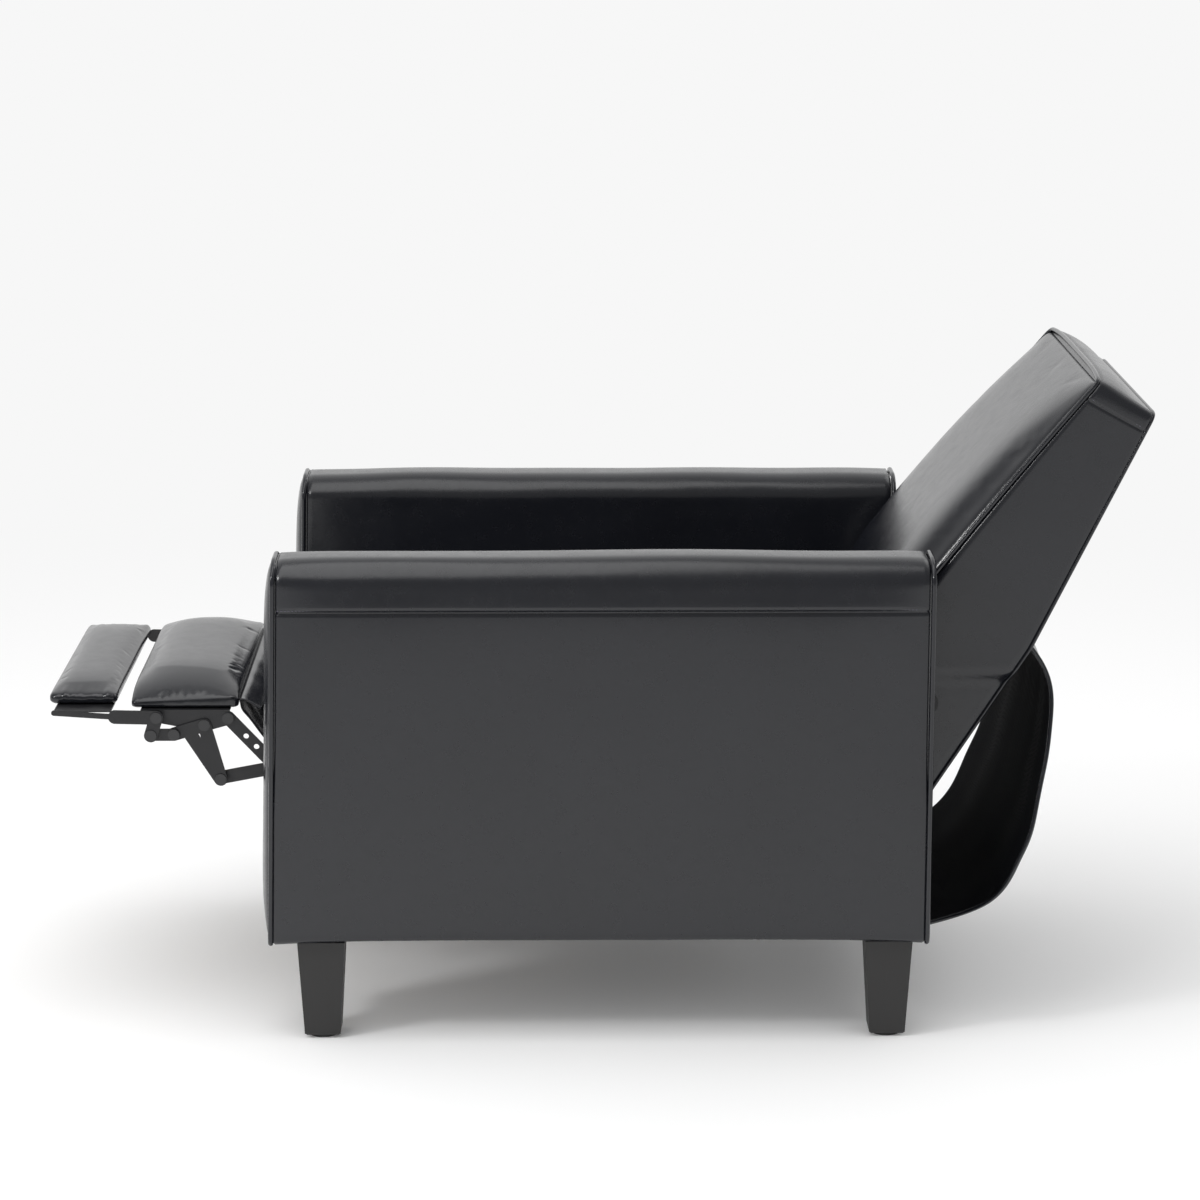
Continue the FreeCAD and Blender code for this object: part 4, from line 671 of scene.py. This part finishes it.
def on_back(points):
    """Places on the back, given as x, t and s, in the chair's millimetres."""
    x, t, s = np.asarray(points, float).T
    share = s / 100.0
    u = t + (np.interp(t, REAR_RUN, REAR_LINE[:, 0]) - t) * share
    bow = FRONT_BOW * np.sin(math.pi * np.clip((t - BOW_START) / (BACK_LENGTH - BOW_START), 0, 1))
    w = np.interp(t, REAR_RUN, REAR_LINE[:, 1]) * share - bow * (1 - np.clip(share, 0, 1))
    y = LOW_FRONT[0] + ALONG[0] * u + INWARD[0] * w
    z = LOW_FRONT[1] + ALONG[1] * u + INWARD[1] * w
    narrow = 1 - (1 - NECK_HALF / BACK_HALF) * (1 - smoothstep(z, 448, 470))
    return np.stack([x * narrow, y, z], axis=-1)


def behind_front(points):
    """How far places in millimetres lie behind the plane of the back's front edge."""
    return (points[:, 1:] - LOW_FRONT) @ INWARD


print("top of the back's front edge:", on_back([(0, BACK_LENGTH, 0)]).round(1))

# %% [markdown]
# ### The boxed cover
#
# Side, lid and rear are stiff panels over padding. The side swells gently, the lid is domed, and a stitched seam
# crosses the side below it. One block with softened corners gives all of them, and the seam is a groove in it.

# %% The cover
LID_DOME, LID_SHOULDER = 19.0, 4.5
SIDE_SWELL, BAND_SWELL = 1.6, 1.5


def back_box():
    """The cover of the back: two sides, lid and rear."""
    low, high = (-BACK_HALF, 0.0, 4.0), (BACK_HALF, BACK_LENGTH, 100.0)
    work = cut_block(cell_lines(low[0], high[0], 7.5), cell_lines(low[1], high[1], 7.0, seams=(TOP_BAND,)),
                     cell_lines(low[2], high[2], 4.0))

    def carry(points):
        x, t, s = rounded(points, low, high, (12.0, 14.0, 3.0)).T.copy()
        flank = smoothstep(np.abs(x), 222, 231)
        body = plateau(t, 0, BACK_LENGTH, 8) * plateau(s, 0, 100, 3)
        band = smoothstep(t, TOP_BAND - 1, TOP_BAND + 3) * plateau(s, 0, 100, 3)
        bulge = SIDE_SWELL * body + BAND_SWELL * band - 1.4 * seam_dip(t - TOP_BAND, 1.7)
        bulge = bulge + 0.7 * body * ripple(t, s * 1.6, 81, 170)
        x = x + np.sign(x) * flank * bulge
        lid = smoothstep(t, BACK_LENGTH - 8, BACK_LENGTH)
        across = plateau(x, -BACK_HALF, BACK_HALF, LID_SHOULDER)
        t = t + lid * (LID_DOME * across * plateau(s, -10, 110, 2.2) + 0.8 * ripple(x, s * 2, 5, 150))
        rear = smoothstep(s, 94, 100)
        s = s + rear * (1.6 * plateau(x, -BACK_HALF, BACK_HALF, 4) + 0.5 * ripple(x, t, 9, 200))
        return on_back(np.stack([x, t, s], axis=1))

    return keep_piece("back_box", work, carry, arm_leather)


# %% [markdown]
# ### The stuffed front cushion
#
# The cushion is full in the middle and drops quickly to the welt, so it has dark shoulders beside a bright middle. A
# crown alone looks too regular, so the block starts with part of it and the pressure of the cloth adds the rest. Low
# down the cushion stays thin, or it would run into the seat's rails when the back comes up.

# %% The cushion
CUSHION_LOW, CUSHION_INSET = 34.0, 3.0
CUSHION_CROWN, CUSHION_SHOULDER = 14.0, 8


def back_fill(t):
    """How full the cushion is along the back: thin where the seat passes in front of it."""
    return 0.3 * smoothstep(t, 40, 130) + 0.7 * smoothstep(t, 150, 300)


def back_crown(x, t, half):
    """0 at the sides and the top of the cushion and 1 in its middle."""
    return plateau(x, -half, half, CUSHION_SHOULDER) * plateau(t, -400, BACK_LENGTH, 5)


def back_pad():
    """The cushion before it swells, with a part of its crown."""
    half = BACK_HALF - CUSHION_INSET
    low, high = (-half, CUSHION_LOW, -1.0), (half, BACK_LENGTH - CUSHION_INSET, 16.0)
    work = plain_block(low, high, (8.0, 8.0, 4.0))

    def carry(points):
        x, t, s = rounded(points, low, high, (12, 12, 4)).T.copy()
        crown = back_crown(x, t, half) * back_fill(t)
        depth = np.interp(t, REAR_RUN, REAR_LINE[:, 1])
        s = s - (1 - smoothstep(s, -1, 6)) * crown * CUSHION_CROWN * 100 / depth
        return on_back(np.stack([x, t, s], axis=1))

    return keep_piece("back_pad", work, carry, pad_leather)


def back_free(points):
    """Only the front of the cushion may swell, most in the middle and nothing at the welt."""
    up = (points[:, 1:] - LOW_FRONT) @ ALONG
    crown = back_crown(points[:, 0], up, BACK_HALF)
    return crown * back_fill(up) * (1 - smoothstep(behind_front(points), -2.0, 4.0))


box_piece = back_box()
pad_piece = back_pad()
swell(pad_piece, voxel=6.2, pressure=4.0, cap=15.0, free=back_free)
soften(pad_piece)


# %% Welts and thread of the back
def back_welt(name, radius, bend, s, rise):
    """A welt up one side of the back, over the lid and down the other side, at a depth s."""
    half = BACK_HALF - 2.2
    top = BACK_LENGTH + rise
    path = bent_path([(-half, 8, s), (-half, top, s), (half, top, s), (half, 8, s)], bend, False)
    lift = 7.0 * plateau(path[:, 0], -BACK_HALF, BACK_HALF, LID_SHOULDER)
    path[:, 1] += lift * smoothstep(path[:, 1], top - 20, top)
    return welt(name, on_back(path), radius, welt_leather)


front_welt = back_welt("back_front_welt", radius=3.1, bend=14.0, s=2.6, rise=-1.6)
rear_welt = back_welt("back_rear_welt", radius=2.5, bend=13.0, s=99.0, rise=-2.5)
threads = []
for side_name, side in SIDES:
    line = on_back([(side * (BACK_HALF + 1.2), TOP_BAND + THREAD_RISE, s) for s in np.linspace(9, 95, 20)])
    threads.append(stitches(f"back_band_thread_{side_name}", line, (side, 0, 0), thread))
for part in (box_piece, pad_piece, front_welt, rear_welt, *threads):
    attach(part, "back")
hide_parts("back_cover")
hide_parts("back_cushion")
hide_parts("back_piping")
print("back pieces:", 4 + len(threads))

# %% [markdown]
# ## The seat and the two footrest pads
#
# Each of them is foam on a board, with leather pulled over it and fixed below. It starts as a crowned block, the
# pressure swells its top, and its underside stays flat on the board. The seat has a soft nose with a welt, an apron
# below it and an underlay that closes it from below.

# %% A crowned block
def crowned_block(name, half, y_ends, z_ends, crown, step, radius, power=3.0, droop=(0, 0)):
    """A block with a crowned top, whose left and right ends droop by a height at the front and at the rear."""
    low, high = (-half, y_ends[0], z_ends[0]), (half, y_ends[1], z_ends[1])
    work = plain_block(low, high, (step, step, step * 0.6))

    def carry(points):
        x, y, z = rounded(points, low, high, radius).T.copy()
        top = smoothstep(z, high[2] - 8, high[2])
        z = z + top * crown * plateau(x, -half, half, power) * plateau(y, *y_ends, 2.4)
        fall = smoothstep(z, low[2] + 2, high[2]) * np.interp(y, y_ends, droop)
        z = z - fall * (1 - plateau(x, -half, half, 8))
        return np.stack([x, y, z], axis=1)

    return keep_piece(name, work, carry, pad_leather)


# %% Seat cushion, apron and underlay
SEAT_FRONT, SEAT_REAR = 15.0, 652.0
SEAT_BOTTOM, SEAT_TOP = 405.5, 450.0


def seat_free(points):
    """The seat swells at its top only."""
    return smoothstep(points[:, 2], 425, 446)


seat_pad = crowned_block("seat_pad", 228.0, (SEAT_FRONT, SEAT_REAR), (SEAT_BOTTOM, SEAT_TOP), 8.0, 8.0, (10, 16, 12))
swell(seat_pad, voxel=6.0, pressure=4.0, cap=10.0, free=seat_free)
soften(seat_pad)
apron = crowned_block("seat_apron", 210.0, (SEAT_FRONT, 58.0), (324.5, SEAT_BOTTOM), 0.0, 5.0, (5, 5, 5))
underlay = crowned_block("seat_underlay", 209.0, (56.0, 648.0), (387.0, 408.0), 0.0, 12.0, (4, 4, 4))
seat_line = [(-225, 22, 449.0), (-226, 17, 446.0), (226, 17, 446.0), (225, 22, 449.0)]
seat_welt = welt("seat_front_welt", bent_path(seat_line, 4.0, False), 2.6, welt_leather)
for part in (seat_pad, apron, underlay, seat_welt):
    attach(part, "seat")
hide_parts("seat_cushion")
print("seat:", SEAT_REAR - SEAT_FRONT, "mm deep")

# %% [markdown]
# ### The two footrest pads
#
# The main pad is domed in the middle and low at its two ends, with a thin sewn ridge along each end. The flipper pad
# is smaller and flatter, and its leather is gathered in pleats at the ends. They could be left to the cloth, but then
# each change of the mesh would move them, so they are waves that come last, after the remesh.

# %% Pleats round the ends of a pad
def gather_ends(piece, half, bottom, seed, depth):
    """Push the ends of a swollen pad into upright pleats."""
    x, y, z = chair_mm(point_array(piece.data)).T.copy()
    near = smoothstep(np.abs(x), half - 34, half - 4)
    pleat = np.abs(ripple(y, np.sign(x) * 40 + z * 0.5, seed, 17, 6)) - 0.35
    z = z + near * smoothstep(z, bottom, bottom + 7) * depth * pleat
    x = x + np.sign(x) * smoothstep(np.abs(x), half - 6, half) * depth * 0.7 * pleat
    piece.data.vertices.foreach_set("co", row(np.stack([x, y, z], axis=1)).reshape(-1))
    piece.data.update()


# %% The two footrest pads
def pad_free(half, y_ends, low, high):
    """The top of a pad may swell, most in its middle, and its sewn edges stay."""
    def free(points):
        x, y, z = points.T
        return plateau(x, -half, half, 7) * plateau(y, *y_ends, 3) * smoothstep(z, low, high)
    return free


MAIN_HALF, MAIN_ENDS = 215.0, (-185.0, -45.0)
TIP_HALF, TIP_ENDS = 203.0, (-293.0, -204.0)
MAIN_BOTTOM, MAIN_TOP = 416.2, 440.0
TIP_BOTTOM, TIP_TOP = 418.2, 435.0
MAIN_DROOP, TIP_DROOP = (15.0, 9.0), (2.0, 2.0)
footrest_pad = crowned_block("footrest_top_pad", MAIN_HALF, MAIN_ENDS, (MAIN_BOTTOM, MAIN_TOP), crown=8.0, step=4.0,
                             radius=(5, 6, 3.5), power=5.0, droop=MAIN_DROOP)
swell(footrest_pad, voxel=3.2, pressure=4.0, cap=9.0, free=pad_free(MAIN_HALF, MAIN_ENDS, 421, 430))
gather_ends(footrest_pad, MAIN_HALF, MAIN_BOTTOM, seed=21, depth=0.7)
flipper_pad = crowned_block("flipper_top_pad", TIP_HALF, TIP_ENDS, (TIP_BOTTOM, TIP_TOP), crown=3.0, step=4.0,
                            radius=(9, 9, 6), power=4.0, droop=TIP_DROOP)
swell(flipper_pad, voxel=3.2, pressure=4.0, cap=6.0, free=pad_free(TIP_HALF, TIP_ENDS, 425, 433))
gather_ends(flipper_pad, TIP_HALF, TIP_BOTTOM, seed=33, depth=2.4)
ridges = []
for side_name, side in SIDES:
    places = zip((MAIN_ENDS[0] + 5, MAIN_ENDS[1] - 5), MAIN_DROOP)
    ends = [(side * (MAIN_HALF - 1.4), y, 439.4 - drop) for y, drop in places]
    ridges.append(welt(f"footrest_end_seam_{side_name}", even_path(ends, 6.0), 1.3, welt_leather))
riders = ((footrest_pad, "footrest"), (flipper_pad, "flipper"), (ridges[0], "footrest"), (ridges[1], "footrest"))
for part, body in riders:
    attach(part, body)
for part, node in ((footrest_pad, "footrest_pad"), (flipper_pad, "flipper_pad")):
    soften(part)
    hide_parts(node)
print("pads:", seat_pad.name, footrest_pad.name, flipper_pad.name)

# %% [markdown]
# ## The sling and the flap
#
# Behind the base hangs one sheet of leather, from the back's lower edge down to the rear rail. It closes the gap that
# opens when the back leans. A shorter slack flap hides the links between the seat's apron and the footrest. Cloth
# could be dropped between its two edges, but its line in the side view is known from the photograph, so both are
# grids that follow that line, with folds that run down the sheet and a thickness from the Solidify modifier.

# %% A hanging sheet
def smooth_line(points, count):
    """Even places on a smooth curve through points of the side view, and its length."""
    points = np.asarray(points, float)
    run = np.concatenate([[0], np.cumsum(np.linalg.norm(np.diff(points, axis=0), axis=1))])
    fine = np.linspace(0, run[-1], 900)
    dense = np.stack([np.interp(fine, run, points[:, k]) for k in range(2)], axis=1)
    kernel = np.hanning(161)
    kernel /= kernel.sum()
    longer = np.pad(dense, ((80, 80), (0, 0)), mode="reflect", reflect_type="odd")
    dense = np.stack([np.convolve(longer[:, k], kernel, mode="valid") for k in range(2)], axis=1)
    run = np.concatenate([[0], np.cumsum(np.linalg.norm(np.diff(dense, axis=0), axis=1))])
    places = np.linspace(0, run[-1], count)
    return np.stack([np.interp(places, run, dense[:, k]) for k in range(2)], axis=1), run[-1]


def hung_sheet(name, line, half_of, folds, columns, thickness, material):
    """A grid along a line of the side view. half_of gives its half width, folds its waves off that line."""
    ahead = np.gradient(line, axis=0)
    ahead /= np.linalg.norm(ahead, axis=1, keepdims=True)
    work = bmesh.new()
    bmesh.ops.create_grid(work, x_segments=columns, y_segments=len(line) - 1, size=1.0)

    def carry(points):
        share = (points[:, 1] + 1) / 2
        index = np.rint(share * (len(line) - 1)).astype(int)
        move = folds(points[:, 0], share)
        y = line[index, 0] + ahead[index, 1] * move
        z = line[index, 1] - ahead[index, 0] * move
        return np.stack([points[:, 0] * half_of(share), y, z], axis=1)

    piece = keep_piece(name, work, carry, material)
    solid = piece.modifiers.new("Thickness", "SOLIDIFY")
    solid.thickness = thickness / 1000.0
    solid.offset = 0
    return piece


# %% Rear sling
SLING_ROWS = 84
SLING_LINE = ((981, 503), (985, 498), (1003, 474), (1011, 452), (1014, 434), (1011, 403), (1006, 363), (995, 320),
              (983, 259), (966, 224), (956, 197), (938, 166), (909, 144), (880, 130), (853, 124))


def sling_half(share):
    """Half the sling's width: widest where it hangs free, narrow at the back and between the arms."""
    return 226 + 60 * smoothstep(share, 0.05, 0.6) - 56 * smoothstep(share, 0.66, 0.96)


def sling_folds(across, share):
    """Slow waves in the free part, a few creases near the top, and straight hems."""
    free = np.sin(math.pi * np.minimum(1, share * 1.03)) ** 0.7
    slow = ripple(across * 290, share * 30, 71, 190, 5)
    crease = ripple(across * 290, share * 12, 73, 75, 5) * np.maximum(0.0, 1 - share * 1.4)
    hem = smoothstep(np.abs(across), 0.95, 0.985)
    return free * (4.0 * slow + 1.2 * crease) * (1 - hem) + 1.2 * hem


sling_line, sling_run = smooth_line(SLING_LINE, SLING_ROWS)
sling = hung_sheet("rear_sling_sheet", sling_line, sling_half, sling_folds, columns=149, thickness=2.2,
                   material=sling_leather)
shares = np.linspace(0, 1, SLING_ROWS)
hems = []
for side_name, side in SIDES:
    path = np.column_stack([side * (sling_half(shares) - 1.5), sling_line])
    hems.append(welt(f"sling_hem_{side_name}", path, 2.6, welt_leather))
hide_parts("rear_sling")
sling_area = 2 * float(np.mean(sling_half(shares))) * sling_run / 1e6
low_point, top_point = row([(0, 880, 130), (0, 985, 500)])

# The inner side is bare cloth: Solidify gives it the next material.
sling.data.materials.append(sling_backing)
sling.modifiers["Thickness"].material_offset = 1
for part in (sling, *hems):
    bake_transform(part)
print("sling:", round(sling_run, 1), "mm long,", round(sling_area, 4), "square metres")

# %% [markdown]
# ### The flap
#
# The flap is sewn to the seat's nose and to the footrest, and hangs slack between them. No single joint joins these
# two, so it can't be blended from one to the other. It rides on the seat, and a short strip of it stays on the
# footrest.

# %% Front flap
FLAP_HALF, FLAP_COLUMNS = 203.0, 119
FLAP_LINE = ((13.7, 392), (13.7, 380), (10, 368), (1, 362), (-9, 367), (-18, 378), (-32, 399), (-42.6, 412),
             (-43.7, 425))


def flap_half(share):
    """The flap is as wide all the way."""
    return FLAP_HALF + 0 * share


def flap_folds(across, share):
    """Slack waves that die out at the two sewn edges."""
    return np.sin(math.pi * share) * 5.0 * ripple(across * FLAP_HALF, share * 50, 91, 60, 7)


flap_line, flap_run = smooth_line(FLAP_LINE, 34)
flap = hung_sheet("front_flap_sheet", flap_line, flap_half, flap_folds, FLAP_COLUMNS, 1.8, pad_leather)
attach(flap, "seat")
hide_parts("front_flap")
tuple(row([(0, 13.7, 392)])[0])
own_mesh(flap)

# %% The strip of the flap that stays on the footrest
STRIP_LINE = ((-46.2, 424), (-43, 426), (-36, 424), (-26, 419), (-16, 413))


def strip_folds(across, share):
    """Small waves that start at the seam and grow away from it."""
    return share * 1.2 * ripple(across * FLAP_HALF, share * 20, 95, 55, 7)


strip_line, strip_run = smooth_line(STRIP_LINE, 16)
strip = hung_sheet("footrest_flap_strip", strip_line, flap_half, strip_folds, FLAP_COLUMNS, 1.6, pad_leather)
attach(strip, "footrest")
print("flap:", round(flap_run, 1), "mm long, its strip", round(strip_run, 1), "mm")

# %% [markdown]
# ## Steel, timber and feet
#
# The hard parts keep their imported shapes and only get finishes. Links and plates are painted black, rivets are a
# little shinier, and the timber inside is bare. The cross rails between the arms are wrapped in the black cloth that
# also backs the sling. The node's name says which finish it takes.

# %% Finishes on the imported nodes
LEGS = ("front_right_leg", "front_left_leg", "rear_right_leg", "rear_left_leg")
for name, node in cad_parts.items():
    chosen = black_steel
    if "rivets" in name:
        chosen = rivet_steel
    elif "webbing" in name:
        chosen = webbing
    elif "cross_rail" in name and "back" not in name:
        chosen = sling_backing
    elif "arm_frame" in name or "rail" in name or "board" in name:
        chosen = frame_wood
    elif name in LEGS:
        chosen = leg_wood
    elif name == "leg_glides":
        chosen = glide_plastic
    elif name == "hanger_bolts":
        chosen = bolt_steel
    node.data.materials.clear()
    node.data.materials.append(chosen)
print("finishes on", len(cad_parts), "nodes")

# %% [markdown]
# ## Light, floor and camera
#
# The chair stands in a white studio, and an even surround lights it. Black leather is seen mostly by what it mirrors,
# so the surround that mirror rays meet is white behind the chair and dim behind the camera, as in a studio. More
# lamps could do the same, but they would also light the floor and wash out its shadow. A wide soft light above draws
# the bright lines on the shoulders.

# %% Surround
scene.view_settings.view_transform = "Standard"
world = bpy.data.worlds.new("White surround")
scene.world = world
world.use_nodes = True
tree = world.node_tree
background = tree.nodes["Background"]
background.inputs["Color"].default_value = (1.0, 1.0, 1.0, 1.0)
ray = tree.nodes.new("ShaderNodeLightPath")
direction = tree.nodes.new("ShaderNodeSeparateXYZ")
tree.links.new(tree.nodes.new("ShaderNodeTexCoord").outputs["Generated"], direction.inputs[0])
WHITE = 0.93


def mix_value(tree, factor, low, high):
    """A value between two others, numbers or sockets."""
    mix = tree.nodes.new("ShaderNodeMix")
    for name, value in (("Factor", factor), ("A", low), ("B", high)):
        feed(tree, mix.inputs[name], value)
    return mix.outputs["Result"]


mirrored = spread(tree, direction.outputs["X"], 1.0, 0.3, -0.55, 0.2)
level = mix_value(tree, ray.outputs["Is Glossy Ray"], 0.85, mirrored)
seen = combine(tree, "MAXIMUM", ray.outputs["Is Camera Ray"], ray.outputs["Is Transmission Ray"])
tree.links.new(mix_value(tree, seen, level, WHITE), background.inputs["Strength"])
print("surround:", WHITE, "where the camera sees it")


# %% Soft lights
def soft_light(name, place, target, size, power):
    """A rectangle of light that faces a target."""
    data = bpy.data.lights.new(name, "AREA")
    data.shape = "RECTANGLE"
    data.size, data.size_y = size
    data.energy = power
    light = bpy.data.objects.new(name, data)
    scene.collection.objects.link(light)
    light.location = place
    light.rotation_euler = (Vector(target) - Vector(place)).to_track_quat("-Z", "Y").to_euler()
    print(name, power, "W")


soft_light("Wide light above", (0.9, -0.7, 3.2), (0.1, 0, 0.4), (1.8, 2.8), 30)
soft_light("Small light in front", (1.7, -2.4, 2.3), (0.1, -0.2, 0.5), (0.5, 0.5), 22)
soft_light("Light from the rear", (-1.6, 1.8, 2.8), (0, 0.2, 0.5), (1.6, 1.6), 6)

# %% [markdown]
# ### The floor
#
# The floor turns into the white of the surround further out, so no horizon shows, and near the chair it keeps the
# shadow. Only rays of the camera and of mirrors see it fade, so the white adds no light.

# %% Floor
FLOOR_HALF = 30.0
FADE_START, FADE_END = 1.0, 3.2
FLOOR_LIFT = 0.03
work = bmesh.new()
bmesh.ops.create_grid(work, x_segments=1, y_segments=1, size=FLOOR_HALF)
floor_mesh = bpy.data.meshes.new("floor")
work.to_mesh(floor_mesh)
work.free()
floor = bpy.data.objects.new("floor", floor_mesh)
scene.collection.objects.link(floor)
floor_paint, tree, main = finish("Floor", (0.97, 0.97, 0.97), 0.9, specular=0.1)
floor_mesh.materials.append(floor_paint)
reach = tree.nodes.new("ShaderNodeVectorMath")
reach.operation = "LENGTH"
tree.links.new(tree.nodes.new("ShaderNodeTexCoord").outputs["Object"], reach.inputs[0])
far = spread(tree, reach.outputs["Value"], 0.0, 1.0, FADE_START, FADE_END)
glow = tree.nodes.new("ShaderNodeEmission")
glow.inputs["Strength"].default_value = WHITE
lift = tree.nodes.new("ShaderNodeEmission")
lift.inputs["Strength"].default_value = FLOOR_LIFT


def joined(kind, *sources):
    """A shader node whose inputs come from these sources in order."""
    node = tree.nodes.new(kind)
    for socket, source in zip(node.inputs, sources):
        tree.links.new(source, socket)
    return node.outputs[0]


near_floor = joined("ShaderNodeAddShader", main.outputs[0], lift.outputs[0])
ray = tree.nodes.new("ShaderNodeLightPath")
seen = combine(tree, "MAXIMUM", ray.outputs["Is Camera Ray"], ray.outputs["Is Glossy Ray"])
seen = combine(tree, "MAXIMUM", seen, ray.outputs["Is Transmission Ray"])
fade = joined("ShaderNodeMixShader", far, near_floor, glow.outputs[0])
shown = joined("ShaderNodeMixShader", seen, main.outputs[0], fade)
tree.links.new(shown, tree.nodes["Material Output"].inputs["Surface"])
floor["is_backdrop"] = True
print("floor: fades between", FADE_START, "and", FADE_END, "metres")

# %% [markdown]
# ### The camera
#
# The camera looks at the chair's side from a little above. The two arms are alike, so the smaller size of the far
# one gives the distance, and the tops of the arms give the height.

# %% Camera
camera_data = bpy.data.cameras.new("Camera")
camera_data.sensor_width = 36.0
camera_data.lens = 108.5
camera = bpy.data.objects.new("Camera", camera_data)
scene.collection.objects.link(camera)
scene.camera = camera
yaw, pitch = 0.0096, 0.2215
camera.location = (4.7825, -0.03975, 1.5884)
forward = Vector((-math.cos(yaw) * math.cos(pitch), math.sin(yaw) * math.cos(pitch), -math.sin(pitch)))
camera.rotation_euler = forward.to_track_quat("-Z", "Y").to_euler()
print("camera:", round(math.degrees(pitch), 1), "degrees down")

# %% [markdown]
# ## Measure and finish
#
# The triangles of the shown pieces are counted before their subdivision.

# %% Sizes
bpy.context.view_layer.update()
total = sum(len(p.vertices) - 2 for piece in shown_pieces() if piece.type == "MESH" for p in piece.data.polygons)
print("triangles before subdivision:", total)
